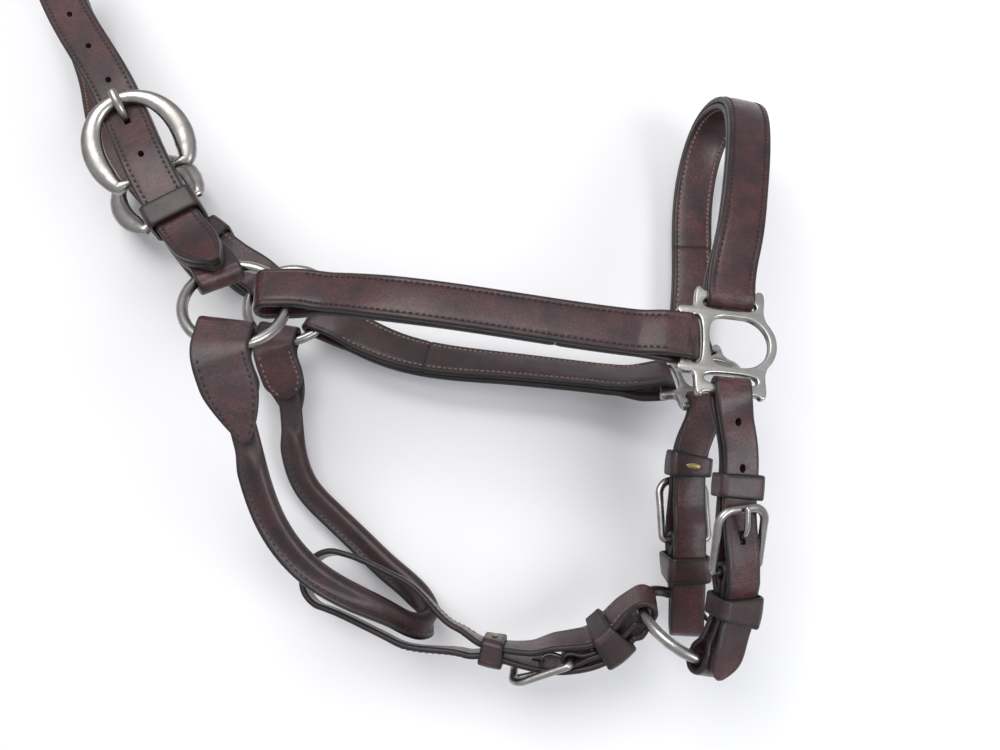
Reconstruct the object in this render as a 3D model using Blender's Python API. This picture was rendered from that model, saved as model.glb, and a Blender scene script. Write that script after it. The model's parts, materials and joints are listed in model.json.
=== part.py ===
"""A leather headcollar lying on its far side: folded and stitched straps, cast
squares, rings, buckles, keepers and staples, each a solid of its own.

The near side of the headcollar lies uppermost. X runs from the crown end
towards the nose, Y across the straps' loops and Z up. Sizes are millimetres.
"""
from math import cos, pi, radians, sin

import bmesh
import bpy
import numpy as np
from mathutils import Matrix, Vector

MM = 0.001
CLEAR = 0.4            # running gap between two pieces that touch

# Straps
WIDE = 25.0            # cheek, nose, crown and throat tab straps
NARROW = 19.0          # chin and connecting straps
LEATHER = 3.2          # one layer
SKIVED = 2.4           # a layer thinned to fold round a buckle bar
LAYER = LEATHER / 2 + CLEAR     # height of each layer of a stitched pair

# Round fittings
RING_RADIUS = 27.0     # middle of the bar, side rings and chin ring
RING_BAR = 3.0

# Crown buckles: a horseshoe frame on a straight bar
CROWN_BAR = 2.4
CROWN_REACH = 45.5     # bar to front, centre to centre
CROWN_HALF_WIDTH = 26.6
CROWN_FAT = 1.7         # how much wider the horseshoe's sides grow on either side
CROWN_TONGUE = 1.4
CROWN_TILT = radians(12.5)

# Chin and connector buckles: a round cornered frame
CHIN_BAR = 2.1
CHIN_REACH = 33.6
CHIN_HALF_WIDTH = 13.8
CHIN_TONGUE = 1.1
CHIN_TILT = radians(11.7)
CHIN_BAR_HEIGHT = 0.9  # bar above the strap's guide
CHIN_FRONT_GAP = 9.0   # frame front to the middle of the upper keeper

NEAR_TAB_WIDTH = 29.0
SQUARE_HALF_THICK = 2.3
HOLE_RADIUS = 2.3
HOLE_PITCH = 28.0      # along the crown strap
CHIN_HOLES = (16, 41)  # along the two chin straps, from the square's rail

SPREAD_BY = 26.0       # a wide strap's layers part this far before a bar
NEAR_CHEEK_BUTT = 150.0         # where a folded strap's two ends meet
FAR_CHEEK_BUTT = 68.0
NOSE_BUTT = 268.0
CHAPE_BUTT = 38.0
CROWN_KEEPER_AT = 45.0
CROWN_POINT = 25.0     # length of the crown strap's pointed tips
CROWN_BLUNT = 1.9      # how full the point is: 1 is a straight taper
HAVANA = (0.085, 0.045, 0.036)
HAVANA_DARK = (0.045, 0.032, 0.030)
NICKEL = (0.62, 0.61, 0.57)
BRASS = (0.55, 0.45, 0.20)


# ---------------------------------------------------------------- geometry

def unit(vector):
    vector = np.asarray(vector, float)
    return vector / np.linalg.norm(vector)


def spline(knots, points, at, first_way=None, last_way=None):
    """A cubic curve through points at the given knots, its end slopes free or set."""
    count = len(knots)
    step = np.diff(knots)
    system = np.eye(count)
    right = np.zeros((count, points.shape[1]))
    slope = np.diff(points, axis=0) / step[:, None]
    if first_way is not None:
        system[0, :2] = 2 * step[0], step[0]
        right[0] = 6 * (slope[0] - unit(first_way))
    if last_way is not None:
        system[-1, -2:] = step[-1], 2 * step[-1]
        right[-1] = 6 * (unit(last_way) - slope[-1])
    for i in range(1, count - 1):
        system[i, i - 1:i + 2] = step[i - 1], 2 * (step[i - 1] + step[i]), step[i]
        right[i] = 6 * (slope[i] - slope[i - 1])
    bend = np.linalg.solve(system, right)
    i = np.clip(np.searchsorted(knots, at) - 1, 0, count - 2)
    u = (at - knots[i])[:, None]
    v = (knots[i + 1] - at)[:, None]
    h = step[i][:, None]
    return (bend[i] * v ** 3 + bend[i + 1] * u ** 3) / (6 * h) + (
        (points[i] / h - bend[i] * h / 6) * v + (points[i + 1] / h - bend[i + 1] * h / 6) * u)


class Plate:
    """The axes of a flat fitting: x and y in its plane, h along its normal."""

    def __init__(self, centre, normal, turn=0.0):
        self.centre = np.array(centre, float)
        self.n = unit(normal)
        flat_x = unit(np.array([1.0, 0, 0]) - self.n[0] * self.n)
        flat_y = np.cross(self.n, flat_x)
        self.x = cos(turn) * flat_x + sin(turn) * flat_y
        self.y = np.cross(self.n, self.x)

    def at(self, x, y, h=0.0):
        return self.centre + x * self.x + y * self.y + h * self.n

    def way(self, angle):
        """The direction outwards at an angle in the plate's plane."""
        return cos(angle) * self.x + sin(angle) * self.y


class Guide:
    """The middle line of a strap and the way its outer face looks along it."""

    def __init__(self, points, faces, first_way=None, last_way=None):
        points = np.array(points, float)
        faces = np.array([unit(face) for face in faces])
        knots = np.concatenate([[0], np.cumsum(np.linalg.norm(np.diff(points, axis=0), axis=1))])
        fine = np.linspace(0, knots[-1], 30 * len(points))
        self.c = spline(knots, points, fine, first_way, last_way)
        faces = np.array([np.interp(fine, knots, faces[:, k]) for k in range(3)]).T
        self.t = np.gradient(self.c, axis=0)
        self.t /= np.linalg.norm(self.t, axis=1)[:, None]
        faces -= (faces * self.t).sum(1)[:, None] * self.t
        self.n = faces / np.linalg.norm(faces, axis=1)[:, None]
        steps = np.linalg.norm(np.diff(self.c, axis=0), axis=1)
        self.s = np.concatenate([[0], np.cumsum(steps)])
        self.length = self.s[-1]

    def frame(self, s):
        """Centre, direction, outer normal and width direction at length s."""
        inside = min(max(s, 0.0), self.length)
        read = [np.array([np.interp(inside, self.s, rows[:, k]) for k in range(3)])
                for rows in (self.c, self.t, self.n)]
        t = unit(read[1])
        n = unit(read[2] - read[2].dot(t) * t)
        return read[0] + (s - inside) * t, t, n, np.cross(n, t)

    def place(self, s, b=0.0, h=0.0):
        c, t, n, across = self.frame(s)
        return c + b * across + h * n

    def near(self, point):
        """The length at which the guide passes closest to a point."""
        return self.s[np.argmin(((self.c - point) ** 2).sum(1))]


class Run:
    """A strap seen from its edge: where its middle lies along and above a guide."""

    def __init__(self, width, thick):
        self.width = width
        self.thick = thick
        self.rows = []

    def to(self, s, h):
        self.rows.append((s, h, self.thick, self.width))
        return self

    def ease(self, s, h, thick=None, steps=4):
        """A soft step from the last place to a new one."""
        s0, h0, thick0, _ = self.rows[-1]
        self.thick = thick if thick else self.thick
        for k in range(1, steps + 1):
            u = k / steps
            soft = u * u * (3 - 2 * u)
            self.rows.append((s0 + (s - s0) * u, h0 + (h - h0) * soft,
                              thick0 + (self.thick - thick0) * u, self.width))
        return self

    def fold(self, s, h, radius, start, end, steps=8):
        """An arc round a bar, angles in degrees from the guide's direction."""
        for k in range(steps + 1):
            a = radians(start + (end - start) * k / steps)
            self.rows.append((s + radius * cos(a), h + radius * sin(a), self.thick, self.width))
        return self

    def point(self, s, h, reach, blunt=2.2, steps=5):
        """A tapered end whose tip lies at s, reach millimetres long."""
        way = 1 if s > self.rows[-1][0] else -1
        h0 = self.rows[-1][1]
        s0 = s - way * reach
        for k in range(steps + 1):
            u = k / steps
            width = self.width * (0.16 + 0.84 * (1 - u ** blunt))
            self.rows.append((s0 + way * reach * u, h0 + (h - h0) * u, self.thick, width))
        return self


# ------------------------------------------------------------------ meshes

def material(name, colour, roughness, metallic=0.0):
    found = bpy.data.materials.get(name)
    if found:
        return found
    made = bpy.data.materials.new(name)
    made.use_nodes = True
    shader = made.node_tree.nodes["Principled BSDF"]
    shader.inputs["Base Color"].default_value = (*colour, 1)
    shader.inputs["Roughness"].default_value = roughness
    shader.inputs["Metallic"].default_value = metallic
    return made


def leather():
    return material("havana_leather", HAVANA, 0.5)


def leather_dark():
    return material("havana_leather_dark", HAVANA_DARK, 0.55)


def nickel():
    return material("satin_nickel", NICKEL, 0.32, 1.0)


def brass():
    return material("aged_brass", BRASS, 0.4, 1.0)


def solid(name, verts, faces, look, smooth=False):
    """A closed mesh object from millimetre points, with its faces turned out."""
    mesh = bpy.data.meshes.new(name)
    mesh.from_pydata([tuple(np.asarray(v) * MM) for v in verts], [], faces)
    shape = bmesh.new()
    shape.from_mesh(mesh)
    bmesh.ops.recalc_face_normals(shape, faces=shape.faces)
    shape.to_mesh(mesh)
    shape.free()
    made = bpy.data.objects.new(name, mesh)
    bpy.context.scene.collection.objects.link(made)
    if look:
        mesh.materials.append(look)
    if smooth:
        mesh.shade_smooth()
        mesh.set_sharp_from_angle(angle=radians(40))
    return made


def set_origin(made, point):
    """Move a piece's origin to a point without moving the piece."""
    point = np.asarray(point) * MM
    made.data.transform(Matrix.Translation(-point))
    made.location = point
    return made


def loft(name, rows, look, closed=False, smooth=False):
    """A skin over rows of points, capped at both ends unless it closes on itself."""
    count = len(rows)
    sides = len(rows[0])
    verts = [point for row in rows for point in row]
    faces = []
    for i in range(count if closed else count - 1):
        a = i * sides
        b = (i + 1) % count * sides
        for k in range(sides):
            m = (k + 1) % sides
            faces.append((a + k, a + m, b + m, b + k))
    if not closed:
        faces.append(tuple(range(sides)))
        faces.append(tuple((count - 1) * sides + k for k in range(sides)))
    return solid(name, verts, faces, look, smooth)


def ribbon(name, guide, run, look):
    """A strap of rectangular section that follows a run along a guide."""
    path = np.array([row[:2] for row in run.rows])
    keep = [0] + [i for i in range(1, len(path)) if np.linalg.norm(path[i] - path[i - 1]) > 1e-3]
    path = path[keep]
    rows_in = [run.rows[i] for i in keep]
    way = np.gradient(path, axis=0)
    way /= np.linalg.norm(way, axis=1)[:, None]
    rows = []
    for (s, h, thick, width), (ds, dh) in zip(rows_in, way):
        corner = []
        for side, edge in ((1, 1), (1, -1), (-1, -1), (-1, 1)):
            out = side * thick / 2
            corner.append(guide.place(s - dh * out, edge * width / 2, h + ds * out))
        rows.append(corner)
    return loft(name, rows, look)


def sweep(name, points, ups, half_side, half_up, look, closed=False, sides=6):
    """A rod along points, with an oval section set upright by ups."""
    points = np.array(points, float)
    if closed:
        way = np.roll(points, -1, axis=0) - np.roll(points, 1, axis=0)
    else:
        way = np.gradient(points, axis=0)
    rows = []
    for i, (point, t) in enumerate(zip(points, way)):
        up = unit(ups[i])
        side = unit(np.cross(t, up))
        row = []
        for k in range(sides):
            a = 2 * pi * (k + 0.5) / sides
            row.append(point + half_side[i] * cos(a) * side + half_up[i] * sin(a) * up)
        rows.append(row)
    return loft(name, rows, look, closed, smooth=True)


def ring(name, plate):
    turns = 30
    points = [plate.at(RING_RADIUS * cos(2 * pi * k / turns), RING_RADIUS * sin(2 * pi * k / turns))
              for k in range(turns)]
    made = sweep(name, points, [plate.n] * turns, [RING_BAR] * turns, [RING_BAR] * turns,
                 nickel(), closed=True)
    return set_origin(made, plate.centre)


def cut(target, cutter):
    """Cut a hidden shape out of a piece, whose twisted faces are halved first."""
    shape = bmesh.new()
    shape.from_mesh(target.data)
    bmesh.ops.triangulate(shape, faces=shape.faces)
    shape.to_mesh(target.data)
    shape.free()
    cutter.hide_render = True
    cutter.display_type = "WIRE"
    made = target.modifiers.new("cut_" + cutter.name, "BOOLEAN")
    made.operation = "DIFFERENCE"
    made.solver = "EXACT"
    made.object = cutter


def block(name, origin, axes, low, high):
    """A box between two corners given along three axes from an origin."""
    verts = []
    for x in (low[0], high[0]):
        for y in (low[1], high[1]):
            for z in (low[2], high[2]):
                verts.append(origin + x * axes[0] + y * axes[1] + z * axes[2])
    faces = [(0, 1, 3, 2), (4, 6, 7, 5), (0, 4, 5, 1), (2, 3, 7, 6), (0, 2, 6, 4), (1, 5, 7, 3)]
    return solid(name, verts, faces, None)


def punch(name, guide, places, low, high):
    """Round cutters across a strap at lengths along its guide."""
    verts = []
    faces = []
    sides = 6
    for s in places:
        c, t, n, across = guide.frame(s)
        base = len(verts)
        for h in (low, high):
            for k in range(sides):
                a = 2 * pi * k / sides
                verts.append(c + h * n + HOLE_RADIUS * (cos(a) * t + sin(a) * across))
        for k in range(sides):
            m = (k + 1) % sides
            faces.append((base + k, base + m, base + sides + m, base + sides + k))
        faces.append(tuple(base + k for k in range(sides)))
        faces.append(tuple(base + sides + k for k in range(sides)))
    return solid(name, verts, faces, None)


# ---------------------------------------------------------------- fittings

def square_outline():
    """The outer edge of a cast square, clockwise from the left rail."""
    half = [(-29.7, 13.6), (-31.8, 15.4), (-31.2, 18.0), (-28.4, 19.0), (-22.4, 18.6),
            (-22.2, 27.0), (-21.2, 30.6), (-18.6, 31.2), (-17.0, 28.8), (10.4, 28.8),
            (12.0, 31.0), (14.6, 30.2), (15.4, 26.5), (14.6, 18.0)]
    arc = [(3 + 18.5 * cos(radians(a)), 18.5 * sin(radians(a))) for a in range(45, -46, -10)]
    return half + arc + [(x, -y) for x, y in reversed(half)]


def square_openings():
    """The D and the three strap slots of a cast square."""
    arc = [(3 + 14.2 * cos(radians(a)), 14.2 * sin(radians(a))) for a in range(90, -91, -15)]
    d_opening = [(-14.4, -14.2), (-14.4, 14.2)] + arc
    slot_left = [(-25.2, -13.7), (-25.2, 13.7), (-18.3, 13.7), (-18.3, -13.7)]
    slot_top = [(-17.3, 18.2), (-17.3, 24.3), (10.4, 24.3), (10.4, 18.2)]
    slot_bottom = [(x, -y) for x, y in slot_top]
    return d_opening, slot_left, slot_top, slot_bottom


RAIL_REACH = 27.4      # middle of a square's left rail from its origin
RAIL_RISE = 26.5       # middle of its top and bottom rails
RAIL_MIDDLE = -3.5     # middle of the top and bottom slots


def square(name, plate):
    """A cast square: one plate with a D and three slots, its edges eased."""
    outline = square_outline()
    verts = []
    faces = []
    for h in (-SQUARE_HALF_THICK, SQUARE_HALF_THICK):
        verts += [plate.at(x, y, h) for x, y in outline]
    count = len(outline)
    for k in range(count):
        m = (k + 1) % count
        faces.append((k, m, count + m, count + k))
    faces.append(tuple(range(count)))
    faces.append(tuple(range(count, 2 * count)))
    made = solid(name, verts, faces, nickel())
    verts = []
    faces = []
    for hole in square_openings():
        base = len(verts)
        size = len(hole)
        for h in (-SQUARE_HALF_THICK - 2, SQUARE_HALF_THICK + 2):
            verts += [plate.at(x, y, h) for x, y in hole]
        for k in range(size):
            m = (k + 1) % size
            faces.append((base + k, base + m, base + size + m, base + size + k))
        faces.append(tuple(base + k for k in range(size)))
        faces.append(tuple(base + size + k for k in range(size)))
    cut(made, solid(name + "_openings", verts, faces, None))
    ease = made.modifiers.new("eased_edges", "BEVEL")
    ease.width = 0.9 * MM
    ease.segments = 1
    ease.limit_method = "ANGLE"
    ease.angle_limit = radians(60)
    return made


class Hinge:
    """A buckle's own axes: x from its bar to its front, up off the strap."""

    def __init__(self, guide, s, h, way):
        c, t, self.up, _ = guide.frame(s)
        self.centre = c + h * self.up
        self.front = way * t
        self.across = np.cross(self.up, self.front)

    def at(self, x, y, z):
        return self.centre + x * self.front + y * self.across + z * self.up

    def lifted(self, x, y, tilt):
        """A place in the plane of the frame, which tilts about its bar."""
        return self.at(x * cos(tilt), y, x * sin(tilt))

    def frame_up(self, tilt):
        return cos(tilt) * self.up - sin(tilt) * self.front


def crown_frame(name, hinge):
    """A horseshoe of oval bar, closed by its thinner straight bar."""
    middle = 17.3
    end = radians(128)
    reach = CROWN_REACH - middle
    rim = [(middle + reach * cos(a), CROWN_HALF_WIDTH * sin(a))
           for a in np.linspace(-end, end, 19)]
    bar = [(0.0, y) for y in (16.5, 10.0, 0.0, -10.0, -16.5)]
    points = []
    side = []
    high = []
    for x, y in rim + bar:
        swell = min(max((x - 2.0) / 12.0, 0.0), 1.0)
        fat = CROWN_FAT * swell * (y / CROWN_HALF_WIDTH) ** 2
        points.append(hinge.lifted(x, y - np.sign(y) * fat, CROWN_TILT))
        side.append(CROWN_BAR + 1.1 * swell + fat)
        high.append(CROWN_BAR + 0.1 * swell)
    ups = [hinge.frame_up(CROWN_TILT)] * len(points)
    made = sweep(name, points, ups, side, high, nickel(), closed=True)
    return set_origin(made, hinge.centre)


def chin_frame(name, hinge):
    """A frame of round bar with wide front corners and small bar corners."""
    points = []
    for cx, cy, radius, first in ((CHIN_REACH - 8, CHIN_HALF_WIDTH - 8, 8, 90),
                                  (CHIN_REACH - 8, 8 - CHIN_HALF_WIDTH, 8, 0),
                                  (2.5, 2.5 - CHIN_HALF_WIDTH, 2.5, -90),
                                  (2.5, CHIN_HALF_WIDTH - 2.5, 2.5, -180)):
        for k in range(4):
            a = radians(first - 30 * k)
            points.append(hinge.lifted(cx + radius * cos(a), cy + radius * sin(a), CHIN_TILT))
    ups = [hinge.frame_up(CHIN_TILT)] * len(points)
    size = [CHIN_BAR] * len(points)
    made = sweep(name, points, ups, size, size, nickel(), closed=True)
    return set_origin(made, hinge.centre)


def tongue(name, hinge, bar, thick, route):
    """A pin with its eye round the bar, dipping under the strap to its hole."""
    eye = bar + 0.3 + thick
    shape = [(eye * cos(radians(a)), eye * sin(radians(a))) for a in range(-50, -271, -27)]
    shape += route
    points = [hinge.at(x, 0, z) for x, z in shape]
    count = len(points)
    size = [thick] * (count - 1) + [thick * 0.7]
    made = sweep(name, points, [hinge.across] * count, size, size, nickel())
    return set_origin(made, hinge.centre)


def crown_tongue(name, hinge):
    route = [(4.5, 3.1), (9.5, 0.6), (17, -2.4), (25, -3.7), (29, -2.6), (31.4, 0.6),
             (33, 5.0), (35, 9.6), (38.5, 12.7), (43.5, 14.3), (49.5, 14.2)]
    return tongue(name, hinge, CROWN_BAR, CROWN_TONGUE, route)


def chin_tongue(name, hinge):
    route = [(3.8, 2.7), (7.5, 0.7), (11.5, -0.7), (14.5, -0.1), (16.6, 2.2), (18.0, 5.4),
             (19.8, 8.2), (23.5, 9.9), (31.0, 10.5), (35.4, 10.6)]
    return tongue(name, hinge, CHIN_BAR, CHIN_TONGUE, route)


def keeper(name, guide, s, half_length, half_width, low, high, look, thick=2.1):
    """A loop of strap round a stack of layers, between two heights."""
    corner = 1.6
    loop = []
    for cb, ch, first in ((half_width - corner, high - corner, 0),
                          (corner - half_width, high - corner, 90),
                          (corner - half_width, low + corner, 180),
                          (half_width - corner, low + corner, 270)):
        for k in range(3):
            a = radians(first + 45 * k)
            loop.append((cb, ch, cos(a), sin(a)))
    rows = []
    for cb, ch, ca, sa in loop:
        row = []
        for along, out in ((-half_length, corner), (0, corner), (half_length, corner),
                           (half_length, corner + thick), (0, corner + thick),
                           (-half_length, corner + thick)):
            row.append(guide.place(s + along, cb + out * ca, ch + out * sa))
        rows.append(row)
    made = loft(name, rows, look, closed=True)
    return set_origin(made, guide.place(s))


def staple(name, guide, s, depth):
    """The flat head of a keeper's staple, lying on the keeper's inner face."""
    c, t, n, across = guide.frame(s)
    rows = []
    for lift, grow in ((0.3, 0.9), (0.7, 1.0), (1.1, 0.75)):
        row = []
        for k in range(8):
            a = 2 * pi * k / 8
            row.append(c - (depth + lift) * n + 4.2 * grow * cos(a) * across
                       + 1.5 * grow * sin(a) * t)
        rows.append(row)
    return loft(name, rows, brass(), smooth=True)


# -------------------------------------------------------------- the layout

near_ring = Plate((-141.5, 39.5, 98.0), (0.10, 0.33, 0.94))
far_ring = Plate((-133.5, 69.0, 15.0), (0.0, 0.22, 0.97))
chin_ring = Plate((100.5, -126.0, 46.0), (0.42, 0.73, 0.53), radians(-30))
near_square = Plate((123.7, 17.0, 100.0), (0.06, 0.10, 0.99), radians(-5))
far_square = Plate((125.0, 19.0, 28.0), (-0.10, 0.66, 0.74), radians(2))

NEAR_CHEEK_ANGLE = radians(21)
NEAR_CHEEK_WAY = radians(6)      # it leaves its ring askew, so its fold is roomier
NEAR_CROWN_ANGLE = radians(122)
NEAR_TAB_ANGLE = radians(-94)
FAR_CHEEK_ANGLE = radians(-24)
FAR_CROWN_ANGLE = radians(137)
FAR_TAB_ANGLE = radians(-101)
NEAR_CHIN_ANGLE = radians(-41)
FAR_CHIN_ANGLE = radians(106)
CONNECTOR_ANGLE = radians(204)
RING_SAG = 4.6         # a wide fold's arc lies this far inside the side ring's bar
RING_HOLD = 4.4        # and its layers part this far beyond the bar
NEAR_CHEEK_SAG = 9.6
NEAR_TAB_SAG = 9.0
RING_FOLD = RING_BAR + CLEAR + LEATHER / 2
RAIL_FOLD = 3.6 + LEATHER / 2


def ring_bar(plate, angle):
    return plate.centre + RING_RADIUS * plate.way(angle)


def square_to(bar, way):
    """A direction turned square to a bar, so that a fold lies along the bar."""
    way = np.array(way, float)
    return unit(way - way.dot(bar) * bar)


def cheek_guide(ring_plate, angle, first_way, square_plate, middle, middle_faces, side):
    """From a ring's bar to a square's left rail."""
    points = [ring_bar(ring_plate, angle)] + middle + [square_plate.at(-RAIL_REACH, 0)]
    faces = [side * ring_plate.n] + middle_faces + [side * square_plate.n]
    return Guide(points, faces, first_way, square_plate.x)


near_cheek = cheek_guide(near_ring, NEAR_CHEEK_ANGLE, near_ring.way(NEAR_CHEEK_WAY), near_square,
                         [(-63, 41.5, 103), (-10, 34.0, 104), (52, 24.5, 103)],
                         [(0, 0.2, 0.98), (0, 0.18, 0.98), (0.03, 0.15, 0.98)], 1)
far_cheek = cheek_guide(far_ring, FAR_CHEEK_ANGLE, far_ring.way(FAR_CHEEK_ANGLE), far_square,
                        [(-72, 41, 15), (0, 27.5, 15), (56, 20.5, 18)],
                        [(0, -0.38, -0.92), (0, -0.6, -0.8), (0.05, -0.68, -0.73)], -1)

# The nose strap goes from the near square's top rail round to the far one's.
nose = Guide(
    [near_square.at(RAIL_MIDDLE, RAIL_RISE), (129, 74, 99), (137, 108, 93), (145, 150, 82),
     (147, 184, 58), (140, 187, 32), (130, 158, 14), (125.5, 116, 9.2), (123, 76, 9.0),
     far_square.at(RAIL_MIDDLE, RAIL_RISE)],
    [near_square.n, (0.14, 0.15, 0.97), (0.22, 0.28, 0.93), (0.2, 0.62, 0.75),
     (0.12, 0.98, 0.12), (0.05, 0.80, -0.60), (0.0, 0.42, -0.91), (0.0, 0.06, -1.0),
     (0.0, -0.1, -1.0), -far_square.n],
    near_square.y, -far_square.y)


def chape_guide(ring_plate, angle, middle, end, end_way, side):
    """From a ring's bar to a crown buckle's bar."""
    faces = [side * ring_plate.n, (0, 0.12 * side, side), (0, 0.06 * side, side)]
    return Guide([ring_bar(ring_plate, angle)] + middle + [end], faces + faces[-1:],
                 ring_plate.way(angle), end_way)


near_chape = chape_guide(near_ring, NEAR_CROWN_ANGLE, [(-169.5, 77, 86), (-184, 99, 86)],
                         (-197.5, 122, 88.0), (-0.45, 0.89, 0.08), 1)
far_chape = chape_guide(far_ring, FAR_CROWN_ANGLE, [(-171.5, 99.5, 15), (-191.5, 114.5, 16.5)],
                        (-213.5, 132.5, 19.0), (-0.66, 0.75, 0.04), -1)
near_crown_hinge = Hinge(near_chape, near_chape.length, 0, 1)
far_crown_hinge = Hinge(far_chape, far_chape.length, 0, 1)

CROWN_OVER_BAR = 9.6   # middle of the crown strap over the buckle's bar
CROWN_UNDER_FRONT = 2.2


def crown_end(chape, hinge):
    """The crown strap's middle from its tip to past the buckle's front."""
    return [chape.place(-9, 0, 14.0), chape.place(18, 0, 10.9), chape.place(40, 0, 8.6),
            hinge.at(0, 0, CROWN_OVER_BAR), hinge.at(24, 0, 5.6),
            hinge.at(CROWN_REACH - 3, 0, CROWN_UNDER_FRONT),
            hinge.at(CROWN_REACH + 9, 0, CROWN_UNDER_FRONT - 0.8)]


def crown_faces(chape, hinge):
    return [chape.frame(0)[2], chape.frame(18)[2], chape.frame(40)[2],
            hinge.up, hinge.up, hinge.up, hinge.up]


crown = Guide(
    crown_end(near_chape, near_crown_hinge)
    + [(-253, 219, 90), (-285, 281, 79), (-306, 317, 46), (-300, 288, 14), (-276, 231, 9.5)]
    + crown_end(far_chape, far_crown_hinge)[::-1],
    crown_faces(near_chape, near_crown_hinge)
    + [(-0.05, 0.15, 0.98), (-0.28, 0.5, 0.82), (-0.48, 0.86, -0.1), (-0.15, 0.3, -0.95),
       (0.0, 0.0, -1.0)]
    + crown_faces(far_chape, far_crown_hinge)[::-1])

# Throat tabs hang from the side rings, and the rolled throat strap joins them.
near_tab = Guide([ring_bar(near_ring, NEAR_TAB_ANGLE), (-136.5, -11, 105.5), (-129, -36, 98)],
                 [near_ring.n, (0.05, 0.12, 0.99), (0.05, 0.12, 0.99)],
                 near_ring.way(NEAR_TAB_ANGLE), (0.25, -0.93, -0.26))
far_tab = Guide([ring_bar(far_ring, FAR_TAB_ANGLE), (-132, 14, 14), (-128, -10, 10)],
                [-far_ring.n, (0, -0.1, -0.99), (0, -0.05, -1.0)],
                far_ring.way(FAR_TAB_ANGLE), (0.12, -0.98, -0.1))
TAB_OUTER = 53.0       # reach of a tab's outer end, and of its shorter inner one
TAB_INNER = 38.0
TAB_GAP = LEATHER / 2 + CLEAR + 1.5
TAB_POINT = 32.0       # length of a tab's outer point
TAB_BLUNT = 1.6
IN_TAB = 22.0          # the throat strap's ends start here, inside the tabs
tab_stops = (IN_TAB, 33.0, 44.0, 55.0)

throat = Guide(
    [near_tab.place(at) for at in tab_stops]
    + [(-117, -75, 81), (-100, -97, 68), (-79, -110.5, 55), (-60, -120, 42), (-46, -126, 28),
       (-40, -121, 15.5), (-48, -108.5, 11), (-64, -95, 8.5), (-82, -79, 6.5), (-103, -60, 5.8),
       (-118, -44, 6.0)]
    + [far_tab.place(at) for at in tab_stops[::-1]],
    [near_tab.frame(at)[2] for at in tab_stops]
    + [(0.15, 0.15, 0.98), (0.2, 0.2, 0.95), (0.2, 0.35, 0.9), (0.3, 0.6, 0.7),
       (0.7, 0.4, 0.5), (0.9, 0.1, -0.3), (0.4, -0.1, -0.9), (0.1, -0.1, -0.98),
       (0, -0.1, -0.99), (0, -0.05, -1.0), (0, 0, -1.0)]
    + [far_tab.frame(at)[2] for at in tab_stops[::-1]],
    near_tab.frame(IN_TAB)[1], -far_tab.frame(IN_TAB)[1])

# Chin straps: from the squares' bottom rails to the chin ring.


def chin_bar(angle):
    """The direction of the chin ring's bar at an angle."""
    return chin_ring.way(angle + pi / 2)


def ring_end(points, faces, first_way, angle, last_way):
    """A guide that ends on the chin ring's bar, with the bar flat between the layers."""
    points = points + [ring_bar(chin_ring, angle)]
    face = np.cross(chin_bar(angle), last_way)
    face = face if face.dot(faces[-1]) > 0 else -face
    return Guide(points, faces[:-1] + [face], first_way, last_way)


near_chin = ring_end(
    [near_square.at(-3.0, -RAIL_RISE), (123.0, -36, 94), (121.8, -66, 87), (120.6, -94, 79.5),
     (118.8, -122, 70)],
    [near_square.n, (0.16, 0.0, 0.99), (0.26, -0.12, 0.95), (0.32, -0.2, 0.92),
     (0.38, -0.34, 0.87), (0.46, -0.5, 0.73)],
    -near_square.y, NEAR_CHIN_ANGLE, square_to(chin_bar(NEAR_CHIN_ANGLE), (-0.12, -0.84, -0.52)))
far_chin = ring_end(
    [far_square.at(-7.5, -RAIL_RISE), (110.4, -26, 45), (106.8, -54, 38.9), (106, -82, 32.6)],
    [square_to(far_square.x, (-0.05, -0.2, -0.99)), (-0.14, -0.1, -0.98), (-0.2, 0.0, -0.98),
     (-0.16, 0.1, -0.97), (-0.1, 0.3, -0.95)],
    square_to(far_square.x, (-0.1, -0.98, 0.15)), FAR_CHIN_ANGLE, (0.0, -0.94, -0.33))
connector = ring_end(
    [(-108, -98.5, 33), (-92, -102.5, 33), (-68, -113, 33), (-50, -122, 33), (-28, -133, 34),
     (-6, -139.5, 35), (12, -141.5, 36.5), (33, -140, 39), (54, -134.5, 43)],
    [(-0.4, -0.9, 0), (-0.4, -0.9, 0), (-0.43, -0.9, 0), (-0.45, -0.89, 0), (-0.4, -0.9, -0.05),
     (-0.2, -0.96, -0.15), (0.0, -0.95, -0.25), (0.1, -0.88, -0.42), (0.2, -0.8, -0.52),
     (0.28, -0.71, -0.62)],
    (0.97, -0.24, 0.0), CONNECTOR_ANGLE,
    square_to(chin_bar(CONNECTOR_ANGLE), (0.815, 0.5, 0.295)))


# ------------------------------------------------------------------ straps

def folded_strap(name, guide, butt, first_fold, last_fold, first_sag, last_sag):
    """A strap folded round a bar at each end, its ends meeting on the inner side."""
    length = guide.length
    run = Run(WIDE, LEATHER)
    run.to(butt - CLEAR, -LAYER).to(SPREAD_BY, -LAYER)
    run.ease(max(9 - first_sag, RING_HOLD), -first_fold)
    run.fold(-first_sag, 0, first_fold, 270, 90)
    run.to(min(first_sag, RING_HOLD), first_fold)
    run.ease(SPREAD_BY, LAYER)
    run.to(length - SPREAD_BY, LAYER)
    run.ease(length + last_sag - 9, last_fold)
    run.fold(length + last_sag, 0, last_fold, 90, -90)
    run.ease(length - SPREAD_BY, -LAYER)
    run.to(butt + CLEAR, -LAYER)
    spread(run)
    return ribbon(name, guide, run, leather())


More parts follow.
